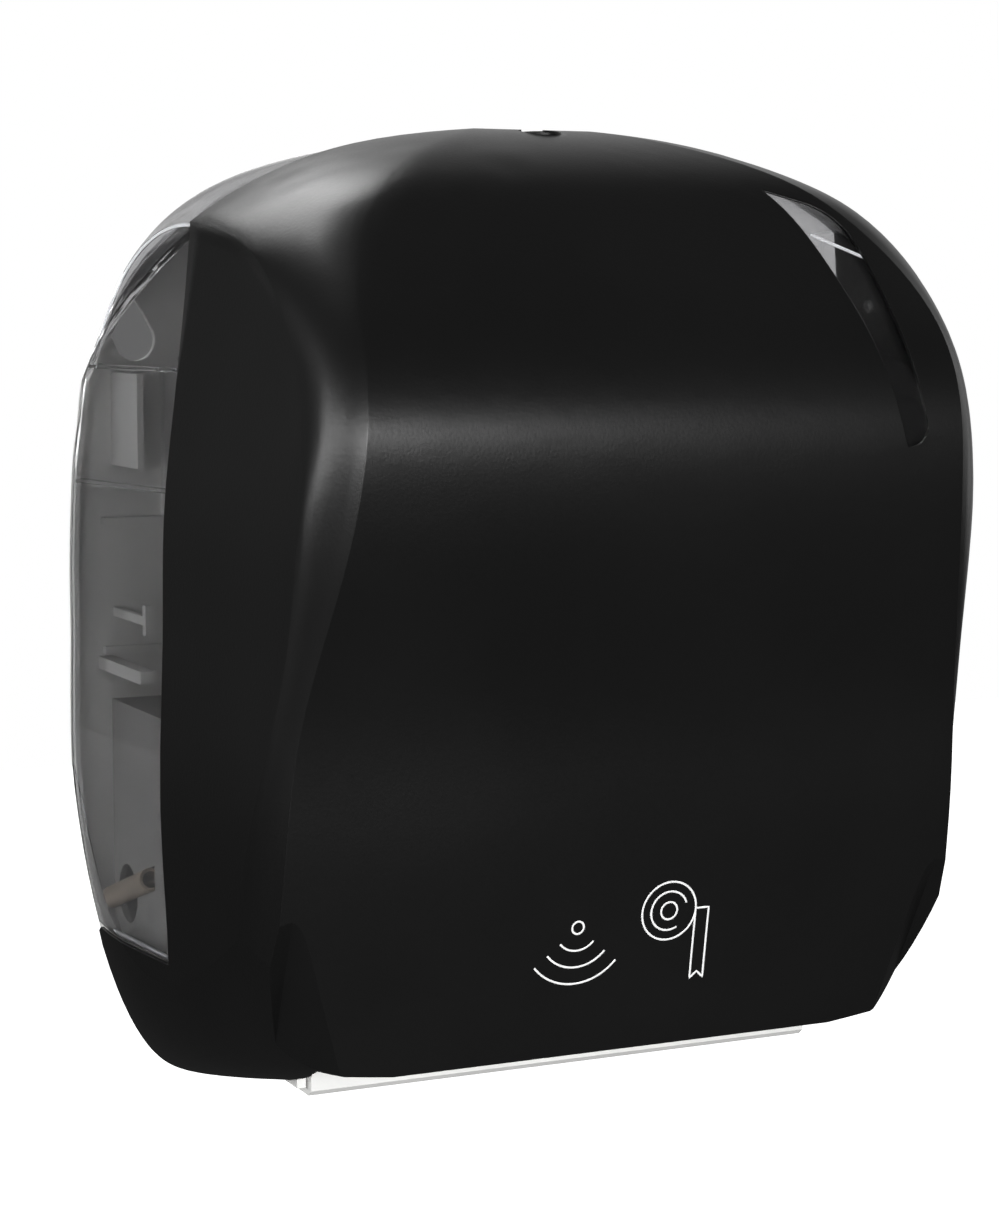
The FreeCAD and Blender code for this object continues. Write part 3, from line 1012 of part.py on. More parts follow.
# Every piece is looked at before anything is written
doc.recompute()
for item in doc.Objects:
    if "Invalid" in item.State or "Error" in item.State:
        raise RuntimeError("%s did not build" % item.Label)
for name, item in NODES.items():
    if item.Shape.isNull() or not item.Shape.isValid():
        raise RuntimeError("%s has no valid shape" % name)
os.makedirs("parts", exist_ok=True)
for name, item in NODES.items():
    item.Shape.exportStep("parts/%s.step" % name)
print("%d nodes" % len(NODES))
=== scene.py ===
import math

import bpy
import numpy as np
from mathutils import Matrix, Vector


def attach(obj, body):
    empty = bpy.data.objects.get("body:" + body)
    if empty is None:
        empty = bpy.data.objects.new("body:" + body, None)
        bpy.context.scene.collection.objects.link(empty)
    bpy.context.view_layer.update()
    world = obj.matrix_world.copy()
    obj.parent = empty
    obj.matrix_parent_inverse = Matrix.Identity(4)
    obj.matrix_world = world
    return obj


bl_info = {
    "name": "Towel dispenser dressing",
    "version": (1, 0, 0),
    "blender": (4, 5, 0),
    "location": "3D View > Sidebar > Dispenser",
    "description": "Finishes, symbols and stage for the sensor towel dispenser",
    "category": "Object",
}

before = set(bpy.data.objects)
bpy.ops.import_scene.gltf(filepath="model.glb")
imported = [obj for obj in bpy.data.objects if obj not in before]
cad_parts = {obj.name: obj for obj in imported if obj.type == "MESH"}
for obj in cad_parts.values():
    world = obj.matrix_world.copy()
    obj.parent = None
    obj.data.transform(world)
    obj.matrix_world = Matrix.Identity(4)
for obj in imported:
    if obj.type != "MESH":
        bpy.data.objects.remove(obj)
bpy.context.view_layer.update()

MM = 0.001
# Heights count from the foot, which lies this far below the middle of the wall screws
MOUNT_HEIGHT = 190.0


def linear(hex_colour):
    """An sRGB hex colour as linear red, green, blue and alpha 1."""
    parts = [int(hex_colour[start:start + 2], 16) / 255 for start in (1, 3, 5)]
    return tuple(c / 12.92 if c <= 0.04045 else ((c + 0.055) / 1.055) ** 2.4 for c in parts) + (1.0,)


def in_frame(x, depth, height):
    """Points given as X, depth from the wall and height above the foot, in mm, as frame metres."""
    return np.stack(np.broadcast_arrays(x, -depth, height - MOUNT_HEIGHT), axis=-1) * MM


# Settings
def colour_setting(name, description, hex_colour):
    """A colour that a user can change."""
    return bpy.props.FloatVectorProperty(name=name, description=description, default=linear(hex_colour), size=4,
                                         min=0.0, max=1.0, subtype="COLOR")


def length_setting(name, description, metres):
    """A length that a user can change."""
    return bpy.props.FloatProperty(name=name, description=description, default=metres, min=0.0, unit="LENGTH")


def power_setting(name, description, watts):
    """A lamp's power that a user can change."""
    return bpy.props.FloatProperty(name=name, description=description, default=watts, min=0.0, unit="POWER")


def level_setting(name, description, level):
    """A share of full white that a user can change."""
    return bpy.props.FloatProperty(name=name, description=description, default=level, min=0.0, max=1.0,
                                   subtype="FACTOR")


class DispenserColours(bpy.types.PropertyGroup):
    """Colours of what shows with the cover closed. Most finishes drift between a dark and a light tone."""
    skin_dark: colour_setting("Skin, dark tone", "Outer skin of the cover", "#0c0c0c")
    skin_light: colour_setting("Skin, light tone", "Outer skin of the cover", "#0f0f0f")
    wall: colour_setting("Clear wall", "Tint of the smoked clear cover", "#d5d5d6")
    plate_dark: colour_setting("Plate, dark tone", "Back plate", "#dcdcda")
    plate_light: colour_setting("Plate, light tone", "Back plate", "#e0e0de")
    tray_dark: colour_setting("Tray, dark tone", "Outlet tray", "#e4e4e2")
    tray_light: colour_setting("Tray, light tone", "Outlet tray", "#ececea")
    frame_dark: colour_setting("Frame, dark tone", "Side frames", "#8f8f8d")
    frame_light: colour_setting("Frame, light tone", "Side frames", "#9a9a98")
    ink_dark: colour_setting("Ink, dark tone", "Symbols on the front", "#e2e2e2")
    ink_light: colour_setting("Ink, light tone", "Symbols on the front", "#eeeeee")


class DispenserSizes(bpy.types.PropertyGroup):
    """Sizes of the printed lines and the moulded beads."""
    line_width: length_setting("Line width", "Width of a symbol's inked line", 0.8 * MM)
    window_bead: length_setting("Window bead", "Radius of the bead across the slim window", 0.7 * MM)
    crease_bead: length_setting("Crease bead", "Radius of the beads in the cover's upper corners", 0.6 * MM)
    foot_bead: length_setting("Foot bead", "Radius of the beads at the side windows' feet", 1.0 * MM)


class DispenserStage(bpy.types.PropertyGroup):
    """Light and floor."""
    floor_drop: length_setting("Floor drop", "How far the floor lies below the origin", 1.1)
    floor_mirrored: level_setting("Floor, mirrored", "What gloss sees of the floor", 0.05)
    floor_lit: level_setting("Floor, lit", "What the floor throws back at the dispenser", 0.25)
    floor_glow: level_setting("Floor glow", "The floor's own white, for the eye alone", 0.9)
    world_level: level_setting("World level", "Plain light from all round", 0.46)
    mirrored_level: level_setting("Mirrored level", "What gloss sees of the room", 0.05)
    backdrop_level: level_setting("Backdrop level", "What gloss sees of the backdrop", 0.55)
    hole_level: level_setting("Hole level", "Backdrop seen through one clear wall", 0.2)
    strip_power: power_setting("Strip power", "Long low lamp at the front left", 40.0)
    corner_power: power_setting("Corner power", "Low lamp between the strip and the left lamp", 11.0)
    left_power: power_setting("Left power", "Long low lamp at the left", 12.0)
    rear_power: power_setting("Rear power", "Soft lamp above and behind", 14.0)
    right_power: power_setting("Right power", "Tall weak lamp at the right", 2.5)


# Materials
BUMP_STRENGTH = 0.5
# The noise values between which a mottled colour turns from dark to light
MOTTLE_SPAN = (0.35, 0.65)
# The front crease is worked soft at the upper left. The radius, in metres, grows leftwards over this span
# of X, and is multiplied by a factor that grows upwards over this span of Z
SOFT_X = (0.02, -0.03)
SOFT_RADIUS = (0.1 * MM, 1.0 * MM)
SOFT_Z = (0.09, 0.16)
SOFT_FACTOR = (0.4, 14.0)


def put(tree, kind, inputs=None, **traits):
    """Add a node. Traits are its own settings. An input that is another node's output is linked, and any
    other is set."""
    added = tree.nodes.new(kind)
    for name, value in traits.items():
        setattr(added, name, value)
    for name, value in (inputs or {}).items():
        if isinstance(value, bpy.types.NodeSocket):
            tree.links.new(value, added.inputs[name])
        else:
            added.inputs[name].default_value = value
    return added


def tones():
    """The colours that a user can change."""
    return bpy.context.scene.dispenser_colours


def surface(name, colour, roughness, **values):
    """A new material: itself, its node tree, its shader and the object coordinates in metres."""
    made = bpy.data.materials.new(name)
    made.use_nodes = True
    tree = made.node_tree
    shader = tree.nodes["Principled BSDF"]
    shader.inputs["Base Color"].default_value = colour
    shader.inputs["Roughness"].default_value = roughness
    for key, value in values.items():
        shader.inputs[key.replace("_", " ")].default_value = value
    place = put(tree, "ShaderNodeTexCoord").outputs["Object"]
    return made, tree, shader, place


def grain(tree, shader, place, size, height, rough_low, rough_high, detail=3.0, under=None):
    """Grain as bump and as roughness: noise whose cells are size mm wide and height mm high. Real grain is
    0.05 to 0.3 mm wide, too fine to show in the render, so it is drawn a few times as coarse."""
    noise = put(tree, "ShaderNodeTexNoise", {"Vector": place, "Scale": 1 / (size * MM), "Detail": detail})
    spread = put(tree, "ShaderNodeMapRange", {"Value": noise.outputs["Fac"], "To Min": rough_low,
                                              "To Max": rough_high})
    tree.links.new(spread.outputs["Result"], shader.inputs["Roughness"])
    bump = put(tree, "ShaderNodeBump", {"Height": noise.outputs["Fac"], "Strength": BUMP_STRENGTH,
                                        "Distance": height * MM})
    if under:
        tree.links.new(under, bump.inputs["Normal"])
    tree.links.new(bump.outputs["Normal"], shader.inputs["Normal"])


def mottle(tree, shader, place, size, dark, light):
    """Slow colour change from dark to light over patches size mm wide."""
    cloud = put(tree, "ShaderNodeTexNoise", {"Vector": place, "Scale": 1 / (size * MM), "Detail": 4.0})
    ramp = put(tree, "ShaderNodeValToRGB", {"Fac": cloud.outputs["Fac"]})
    for stop, colour, position in zip(ramp.color_ramp.elements, (dark, light), MOTTLE_SPAN):
        stop.color = colour
        stop.position = position
    tree.links.new(ramp.outputs["Color"], shader.inputs["Base Color"])


def black_abs():
    """Black ABS from a spark-eroded mould: a deep satin black whose fine grain breaks up the highlights and
    whose creases are worked soft towards the top of the cover."""
    made, tree, shader, place = surface("abs_black_eroded", linear("#0d0d0d"), 0.31, Specular_IOR_Level=0.42)
    mottle(tree, shader, place, 90, tones().skin_dark, tones().skin_light)
    spot = put(tree, "ShaderNodeSeparateXYZ", {"Vector": place})
    factor = put(tree, "ShaderNodeMapRange", {"Value": spot.outputs["Z"], "From Min": SOFT_Z[0],
                                              "From Max": SOFT_Z[1], "To Min": SOFT_FACTOR[0],
                                              "To Max": SOFT_FACTOR[1]})
    radius = put(tree, "ShaderNodeMapRange", {"Value": spot.outputs["X"], "From Min": SOFT_X[0],
                                              "From Max": SOFT_X[1], "To Min": SOFT_RADIUS[0],
                                              "To Max": SOFT_RADIUS[1]})
    worked = put(tree, "ShaderNodeMath", {0: factor.outputs["Result"], 1: radius.outputs["Result"]},
                 operation="MULTIPLY")
    rounded = put(tree, "ShaderNodeBevel", {"Radius": worked.outputs[0]}, samples=8)
    grain(tree, shader, place, 1.2, 0.08, 0.28, 0.35, under=rounded.outputs["Normal"])
    return made


def smoked_clear():
    """Smoked clear SAN, moulded and polished: a glassy grey wall that darkens what lies behind it and pales
    at its edges. Its slow waves are those of the polished mould."""
    made, tree, shader, place = surface("san_smoked_polished", tones().wall, 0.03, IOR=1.4,
                                        Transmission_Weight=1.0, Sheen_Weight=0.5, Sheen_Roughness=0.15)
    grain(tree, shader, place, 25, 0.006, 0.02, 0.05, detail=1.0)
    return made


def plain_moulding(name, dark, light, roughness, size=0.8, height=0.02, **values):
    """A plain moulded plastic: fine grain, and a colour that drifts a little between dark and light."""
    made, tree, shader, place = surface(name, dark, roughness, **values)
    mottle(tree, shader, place, 40, dark, light)
    grain(tree, shader, place, size, height, roughness - 0.05, roughness + 0.06)
    return made


def drawn_metal(name, colour, roughness, finer=(1.0, 1.0, 12.0)):
    """Drawn, plated or machined metal: bright, with fine lines. Finer says how many times finer the grain is
    along X, Y and Z, and the lines run across the finest."""
    made, tree, shader, place = surface(name, linear(colour), roughness, Metallic=1.0)
    turned = put(tree, "ShaderNodeMapping", {"Vector": place, "Scale": finer})
    grain(tree, shader, turned.outputs["Vector"], 1.2, 0.01, roughness - 0.08, roughness + 0.1, detail=5.0)
    return made


def printed_ink():
    """White pad-printed ink: a thin opaque film, a little uneven where it wets the grain."""
    made, tree, shader, place = surface("ink_white_printed", linear("#e9e9e9"), 0.5)
    mottle(tree, shader, place, 3, tones().ink_dark, tones().ink_light)
    grain(tree, shader, place, 0.5, 0.01, 0.45, 0.6)
    return made


def circuit_board():
    """Glass-epoxy board with green solder mask: glossy, with faint copper tracks under the mask."""
    made, tree, shader, place = surface("epoxy_green_masked", linear("#14512c"), 0.3)
    tracks = put(tree, "ShaderNodeTexBrick", {"Vector": place, "Color1": linear("#14512c"),
                                              "Color2": linear("#1b6236"), "Mortar": linear("#0f4224"),
                                              "Scale": 90.0, "Mortar Size": 0.04})
    tree.links.new(tracks.outputs["Color"], shader.inputs["Base Color"])
    grain(tree, shader, place, 2, 0.01, 0.22, 0.36)
    return made


FINISHES = {
    "black": black_abs,
    "smoked": smoked_clear,
    "ink": printed_ink,
    "board": circuit_board,
    # Matt moulded ABS: an even soft white that takes the shadows of its ribs
    "white": lambda: plain_moulding("abs_white_moulded", tones().plate_dark, tones().plate_light, 0.5),
    # ABS from a polished mould: a cleaner white with a soft gloss
    "white_gloss": lambda: plain_moulding("abs_white_polished", tones().tray_dark, tones().tray_light, 0.3,
                                          height=0.005),
    # ABS from an eroded mould: a light grey whose grain still shows through the clear wall
    "grey": lambda: plain_moulding("abs_light_grey_moulded", tones().frame_dark, tones().frame_light, 0.55,
                                   size=1.4, height=0.12),
    # Moulded ABS one shade lower: sets the roll arms off against the plate
    "mid_grey": lambda: plain_moulding("abs_mid_grey_moulded", linear("#8a8a8a"), linear("#949494"), 0.5),
    # Moulded ABS, nearly black: keeps the mechanism quiet behind the frames
    "dark": lambda: plain_moulding("abs_dark_grey_moulded", linear("#38383a"), linear("#404042"), 0.5),
    # Natural acetal: a waxy cream into which light sinks a little
    "acetal": lambda: plain_moulding("acetal_natural_moulded", linear("#dfdccf"), linear("#e8e5da"), 0.38,
                                     Subsurface_Weight=0.1, Subsurface_Scale=0.002),
    # Ground rubber: a dull black with a rough tooth
    "rubber": lambda: plain_moulding("rubber_black_ground", linear("#1a1a1a"), linear("#202020"), 0.75,
                                     size=0.5, height=0.06),
    # Extruded PVC: a plain warm tan, satin
    "tan": lambda: plain_moulding("pvc_tan_extruded", linear("#9c8f80"), linear("#a99b8a"), 0.5),
    # Steel cells in shrunk film: a dark blue-grey with a smooth gloss
    "cell": lambda: plain_moulding("steel_grey_wrapped", linear("#33363b"), linear("#3c4046"), 0.3),
    # Infrared acrylic: looks black with a breath of purple, and mirrors sharply
    "lens": lambda: plain_moulding("acrylic_infrared_black", linear("#0c080b"), linear("#120c10"), 0.12,
                                   height=0.003),
    # Polished ABS: the one strong colour inside, so that the button is found
    "button": lambda: plain_moulding("abs_blue_polished", linear("#1f4f96"), linear("#2558a3"), 0.25,
                                     height=0.005),
    # Frosted SAN given a pale glow of its own, though it is no lamp: a painted glint, so that the bead shows as
    # a light line within the smoked wall
    "rib": lambda: plain_moulding("san_rib_frosted", linear("#dcdde0"), linear("#eaebed"), 0.35,
                                  height=0.005, Emission_Color=linear("#e4e5e8"), Emission_Strength=0.6),
    # Moulded SAN painted an opaque pale grey, with no glow: a painted highlight, so that the bead shows as a
    # pale grey line
    "rim": lambda: plain_moulding("san_rim_moulded", linear("#b4b5b8"), linear("#bebfc2"), 0.3,
                                  height=0.005),
    # Zinc-plated steel: a cool bright grey with faint lines
    "steel": lambda: drawn_metal("steel_zinc_plated", "#a8a9ab", 0.34),
    # Nickel-plated brass: warmer and shinier than the steel, the same in every direction
    "nickel": lambda: drawn_metal("brass_nickel_plated", "#c9c6c0", 0.24, finer=(1.0, 1.0, 1.0)),
    # Machined brass: yellow, with the cutter's lines
    "brass": lambda: drawn_metal("brass_machined", "#b79a5b", 0.28),
    # Deep-drawn steel: a satin can whose lines run round the motor
    "motor_can": lambda: drawn_metal("steel_drawn_can", "#9b9c9f", 0.3, finer=(12.0, 1.0, 1.0)),
}
MADE = {}


def finish(piece, name):
    """Give a piece one of the finishes as its only material."""
    if name not in MADE:
        MADE[name] = FINISHES[name]()
    piece.data.materials.clear()
    piece.data.materials.append(MADE[name])


def dress(finish_name, *nodes):
    """Give CAD nodes a finish."""
    for name in nodes:
        finish(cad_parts[name], finish_name)


# Meshes
def tube_faces(rings, around, looped):
    """The four-cornered faces of a tube of rings, each with the same even number of points around it. Every
    ring is joined to the next, and the last to the first where the tube is looped; otherwise both ends are
    capped."""
    first = np.arange(rings if looped else rings - 1)[:, None] * around
    here = np.arange(around)[None, :]
    there = (here + 1) % around
    wall = np.stack([first + here, first + around + here, first + around + there, first + there], axis=-1)
    wall = wall.reshape(-1, 4) % (rings * around)
    if looped:
        return wall
    across = np.arange(around // 2 - 1)
    cap = np.stack([across, across + 1, around - 2 - across, around - 1 - across], axis=1)
    return np.concatenate([wall, cap, cap[:, ::-1] + (rings - 1) * around])


def cover_piece(name, points, faces, finish_name):
    """A new piece on the cover from points in frame metres and faces, with its finish."""
    mesh = bpy.data.meshes.new(name)
    mesh.from_pydata(points.reshape(-1, 3).tolist(), [], faces.tolist())
    mesh.polygons.foreach_set("use_smooth", np.ones(len(mesh.polygons), bool))
    mesh.update()
    made = bpy.data.objects.new(name, mesh)
    bpy.context.scene.collection.objects.link(made)
    finish(made, finish_name)
    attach(made, "cover")


# Symbols: plain line drawings in white ink, low on the front of the cover, in mm
# How high the film stands at its middle and its edges, and how deep its underside lies in the skin
INK_LIFT = 0.12
INK_EDGE = 0.03
INK_SINK = 0.05
# A line's section: places across it, from edge to edge over its top and back under it, and their lift
TOP = np.linspace(-1.0, 1.0, 5)
UNDER = np.linspace(1.0, -1.0, 3)
ACROSS = np.concatenate([TOP, UNDER])
LIFT = np.concatenate([INK_EDGE + (INK_LIFT - INK_EDGE) * (1 - TOP ** 2), np.full(len(UNDER), -INK_SINK)])
# How far apart the points on a straight line are, and how many an arc has
STRAIGHT_STEP = 0.8
ARC_POINTS = 49
# The cover's front near the symbols lies at a depth that is a cubic in the height above this middle one:
# its factors, from the constant up
FRONT_MIDDLE = 77.0
FRONT_DEPTH = (178.995194273, 0.171964326, 0.000186818, -8.31e-06)
# Places and radii of the spot and its arcs, then of the roll's core, inner turn and rim, with sweeps in
# degrees, and the corners of the sheet that hangs from it
SENSOR_SPOT = (-21.0, 81.0)
SPOT_RADIUS = 2.4
ARC_RADII = (9.0, 15.5, 22.0)
ARC_SWEEP = (220, 320)
ROLL_CORE = (17.0, 84.0)
CORE_RADIUS = 3.4
TURN_RADIUS = 7.6
TURN_SWEEP = (20, 300)
ROLL_RADIUS = 11.4
SHEET_CORNERS = ((28.4, 84.0), (28.4, 56.0), (31.2, 58.6), (34.0, 56.0), (34.0, 84.0), (28.4, 84.0))


def front_depth(height):
    """Depth of the cover's front at a height, by the cubic whose factors are given above."""
    return np.polynomial.polynomial.polyval(height - FRONT_MIDDLE, FRONT_DEPTH)


def arc(middle, radius, start=0, end=360, count=ARC_POINTS):
    """Points (X, height) along a circle's arc, its angles in degrees from the viewer's right."""
    angle = np.radians(np.linspace(start, end, count))
    return np.stack([middle[0] + radius * np.cos(angle), middle[1] + radius * np.sin(angle)], axis=1)


def run(corners):
    """Points (X, height) along straight runs between corners."""
    corners = np.array(corners, float)
    parts = []
    for first, last in zip(corners[:-1], corners[1:]):
        count = max(2, int(np.hypot(*(last - first)) / STRAIGHT_STEP))
        parts.append(first + (last - first) * np.linspace(0, 1, count, endpoint=False)[:, None])
    return np.concatenate(parts + [corners[-1:]])


def ink_line(path, width):
    """One inked line as rings of points and their faces. Parameter one runs along the path; parameter two
    goes round the section, from -1 to 1 across it by half the line's width and back under it. The film's
    lift falls from the middle to the edges as one less the square of the place across, and its underside
    lies in the skin. A path that ends where it starts is looped."""
    looped = bool(np.allclose(path[0], path[-1]))
    if looped:
        path = path[:-1]
        along = np.roll(path, -1, axis=0) - np.roll(path, 1, axis=0)
    else:
        along = np.gradient(path, axis=0)
    along /= np.hypot(along[:, 0], along[:, 1])[:, None]
    normal = np.stack([-along[:, 1], along[:, 0]], axis=1)
    spots = path[:, None, :] + normal[:, None, :] * (ACROSS * width / 2)[None, :, None]
    points = in_frame(spots[..., 0], front_depth(spots[..., 1]) + LIFT, spots[..., 1])
    return points.reshape(-1, 3), tube_faces(len(path), len(ACROSS), looped)


def symbol(name, paths, width):
    """A symbol: all its inked lines as one piece on the cover."""
    lines = [ink_line(path, width) for path in paths]
    starts = np.cumsum([0] + [len(points) for points, _ in lines[:-1]])
    points = np.concatenate([points for points, _ in lines])
    faces = np.concatenate([faces + start for (_, faces), start in zip(lines, starts)])
    cover_piece(name, points, faces, "ink")


# Beads in the clear cover's wall, which show as light lines: the window and crease beads by a painted glow, the
# foot beads by a painted pale grey. X, depth and height of points along each, in mm
WINDOW_LINE = ((81.1, 169.6, 335.9), (100.9, 178.3, 326.8))
CREASE_LINE = ((-153.6, 21.1, 293.6), (-152.1, 26.2, 301.3), (-149.7, 35.0, 314.3), (-147.3, 44.1, 324.3),
               (-144.7, 55.2, 331.9), (-142.1, 67.8, 337.0), (-139.8, 81.9, 339.4), (-137.7, 96.0, 339.1))
FOOT_LINE = ((-155.2, 38.0, 64.3), (-149.9, 92.0, 63.9))
BEAD_RINGS = 61
BEAD_SIDES = 12
# The highest degree of the curve fitted to a bead's points
CURVE_DEGREE = 5
# A bead is rounded off by this power of the way from its middle to its end, counted to just short of 1, so
# that its end keeps a small flat
END_POWER = 12
END_REACH = 0.99


def bead(name, finish_name, radius, corners, side=1):
    """A slim round bead. Parameter one is the way along a curve, each of whose coordinates is a polynomial
    of the way fitted to the corners; parameter two is the angle round the curve. A point lies off the curve
    by the radius, narrowed towards the ends by the root of one less a high power of the way from the
    middle. Side -1 mirrors the bead to the dispenser's other side."""
    corners = np.array(corners) * (side, 1, 1)
    steps = np.linalg.norm(np.diff(corners, axis=0), axis=1)
    way = np.concatenate([[0], np.cumsum(steps)]) / steps.sum()
    factors = np.polyfit(way, corners, min(CURVE_DEGREE, len(corners) - 1))
    fine = np.linspace(0, 1, BEAD_RINGS)
    middle = np.vander(fine, len(factors)) @ factors
    along = np.gradient(middle, axis=0)
    first = np.cross(along, (1, 0, 0))
    first /= np.linalg.norm(first, axis=1)[:, None]
    second = np.cross(along, first)
    second /= np.linalg.norm(second, axis=1)[:, None]
    angle = np.linspace(0, 2 * math.pi, BEAD_SIDES, endpoint=False)[None, :, None]
    size = radius * np.sqrt(1 - (END_REACH * (2 * fine - 1)) ** END_POWER)[:, None, None]
    spots = middle[:, None, :] + size * (first[:, None, :] * np.cos(angle)
                                         + second[:, None, :] * np.sin(angle))
    cover_piece(name, in_frame(spots[..., 0], spots[..., 1], spots[..., 2]),
                tube_faces(BEAD_RINGS, BEAD_SIDES, False), finish_name)


# Operators
class DISPENSER_OT_cover(bpy.types.Operator):
    """Finish the black skin, the smoked shell and the lock, and add the beads in the smoked wall, whose light
    lines are painted glints and painted highlights.
    """
    bl_idname = "dispenser.cover"
    bl_label = "Cover"

    def execute(self, context):
        sizes = context.scene.dispenser_sizes
        dress("black", "cover_skin", "lock_collar", "lock_barrel")
        dress("smoked", "clear_cover")
        dress("steel", "lock_cam")
        # The window and crease beads glow as painted glints; the foot beads are painted pale grey as a painted
        # highlight
        bead("window_bead", "rib", sizes.window_bead / MM, WINDOW_LINE)
        for name, side in (("left", 1), ("right", -1)):
            bead("crease_bead_" + name, "rib", sizes.crease_bead / MM, CREASE_LINE, side)
            bead("foot_bead_" + name, "rim", sizes.foot_bead / MM, FOOT_LINE, side)
        return {"FINISHED"}


class DISPENSER_OT_symbols(bpy.types.Operator):
    """Print the two line symbols: arcs under a spot for the sensor, and a roll with its hanging sheet."""
    bl_idname = "dispenser.symbols"
    bl_label = "Symbols"

    def execute(self, context):
        width = context.scene.dispenser_sizes.line_width / MM
        arcs = [arc(SENSOR_SPOT, radius, *ARC_SWEEP) for radius in ARC_RADII]
        symbol("sensor_symbol", [arc(SENSOR_SPOT, SPOT_RADIUS)] + arcs, width)
        rim = arc(ROLL_CORE, ROLL_RADIUS, count=2 * ARC_POINTS - 1)
        turn = arc(ROLL_CORE, TURN_RADIUS, *TURN_SWEEP)
        symbol("roll_symbol", [rim, arc(ROLL_CORE, CORE_RADIUS), turn, run(SHEET_CORNERS)], width)
        return {"FINISHED"}


class DISPENSER_OT_plate(bpy.types.Operator):
    """Finish the back plate and what is fastened to it."""
    bl_idname = "dispenser.plate"
    bl_label = "Plate"

    def execute(self, context):
        dress("white", "back_plate")
        dress("tan", "cable_sleeve")
        dress("steel", "hinge_pins", "cover_catch", "plate_screws")
        return {"FINISHED"}


class DISPENSER_OT_frames(bpy.types.Operator):
    """Finish the side frames with their walls, control board and feed button."""
    bl_idname = "dispenser.frames"
    bl_label = "Side frames"

    def execute(self, context):
        dress("grey", "side_frame_left", "side_frame_right")
        dress("dark", "bearing_plate_left", "bearing_plate_right")
        dress("steel", "frame_screws")
        dress("board", "control_board")
        dress("button", "feed_button")
        return {"FINISHED"}


class DISPENSER_OT_drive(bpy.types.Operator):
    """Finish the rollers, the gears and the motor."""
    bl_idname = "dispenser.drive"
    bl_label = "Drive"

    def execute(self, context):
        dress("dark", "feed_roller", "pressure_roller")
        dress("rubber", "feed_sleeves")
        dress("acetal", "feed_bushes", "drum_gear", "idler_gear")
        dress("brass", "motor_pinion")
        dress("motor_can", "motor")
        dress("steel", "feed_shaft", "idler_pin", "motor_shaft", "pressure_shaft", "pressure_springs")
        return {"FINISHED"}


class DISPENSER_OT_holder(bpy.types.Operator):
    """Finish the roll holder."""
    bl_idname = "dispenser.holder"
    bl_label = "Roll holder"

    def execute(self, context):
        dress("mid_grey", "roll_arm_left", "roll_arm_right")
        dress("acetal", "hub_left", "hub_right")
        dress("steel", "arm_pin", "arm_bracket", "arm_spring")
        return {"FINISHED"}


class DISPENSER_OT_batteries(bpy.types.Operator):
    """Finish the battery box and what is in it."""
    bl_idname = "dispenser.batteries"
    bl_label = "Batteries"

    def execute(self, context):
        dress("dark", "battery_box", "battery_door")
        dress("cell", "batteries")
        dress("nickel", "battery_contacts")
        dress("steel", "door_pin")
        return {"FINISHED"}


class DISPENSER_OT_outlet(bpy.types.Operator):
    """Finish the paper's way out and the hand sensor over it."""
    bl_idname = "dispenser.outlet"
    bl_label = "Outlet"

    def execute(self, context):
        dress("white_gloss", "outlet_tray")
        dress("dark", "paper_guide")
        dress("steel", "tear_blade")
        dress("lens", "sensor_lens")
        dress("board", "sensor_board")
        dress("acetal", "sensor_clips")
        return {"FINISHED"}


# Stage, in metres
# Half the side of the square floor
FLOOR_HALF = 6.0
# The direction from the dispenser to the white backdrop. Gloss begins to see the backdrop where the product
# of this and the ray's own direction passes the first of the two numbers, and sees it fully at the second
BACKDROP = (0.42, 0.9, 0.08)
BACKDROP_NEARNESS = (0.62, 0.95)
# A ray that has passed more clear surfaces than this has been through more than one wall
ONE_WALL = 2.5
# A ray that has met fewer matt surfaces than this still comes straight from the eye
UNSCATTERED = 0.5
LAMP_AIM = (0.0, -0.1, 0.0)
# Each lamp's name, place, width, height and power setting
LAMPS = (
    ("lamp_strip", (-0.33, -2.18, 0.1), 2.14, 0.3, "strip_power"),
    ("lamp_left", (-1.78, -0.15, 0.28), 1.7, 0.2, "left_power"),
    ("lamp_corner", (-1.55, -1.62, 0.25), 1.3, 0.25, "corner_power"),
    ("lamp_rear", (-0.2, 0.9, 1.45), 1.0, 1.0, "rear_power"),
    ("lamp_right", (1.6, 0.1, 0.5), 0.5, 1.6, "right_power"),
)
# The picture in pixels, and the camera's sensor and lens in mm
PICTURE_WIDTH = 999
PICTURE_HEIGHT = 1224
SENSOR_HEIGHT = 36.0
LENS = 82.869
CAMERA_PLACE = (-0.4816, -1.0942, 0.1229)
CAMERA_AIM = (-0.01946, -0.1078, 0.0013)


def facing(place, target):
    """How a lamp or camera that stands at a place is turned to look at a target."""
    return (Vector(target) - Vector(place)).to_track_quat("-Z", "Y").to_euler()


def lamp(name, place, width, height, power):
    """An area lamp turned to the dispenser."""
    data = bpy.data.lights.new(name, "AREA")
    data.energy = power
    data.shape = "RECTANGLE"
    data.size = width
    data.size_y = height
    made = bpy.data.objects.new(name, data)
    made.location = place
    made.rotation_euler = facing(place, LAMP_AIM)
    bpy.context.scene.collection.objects.link(made)


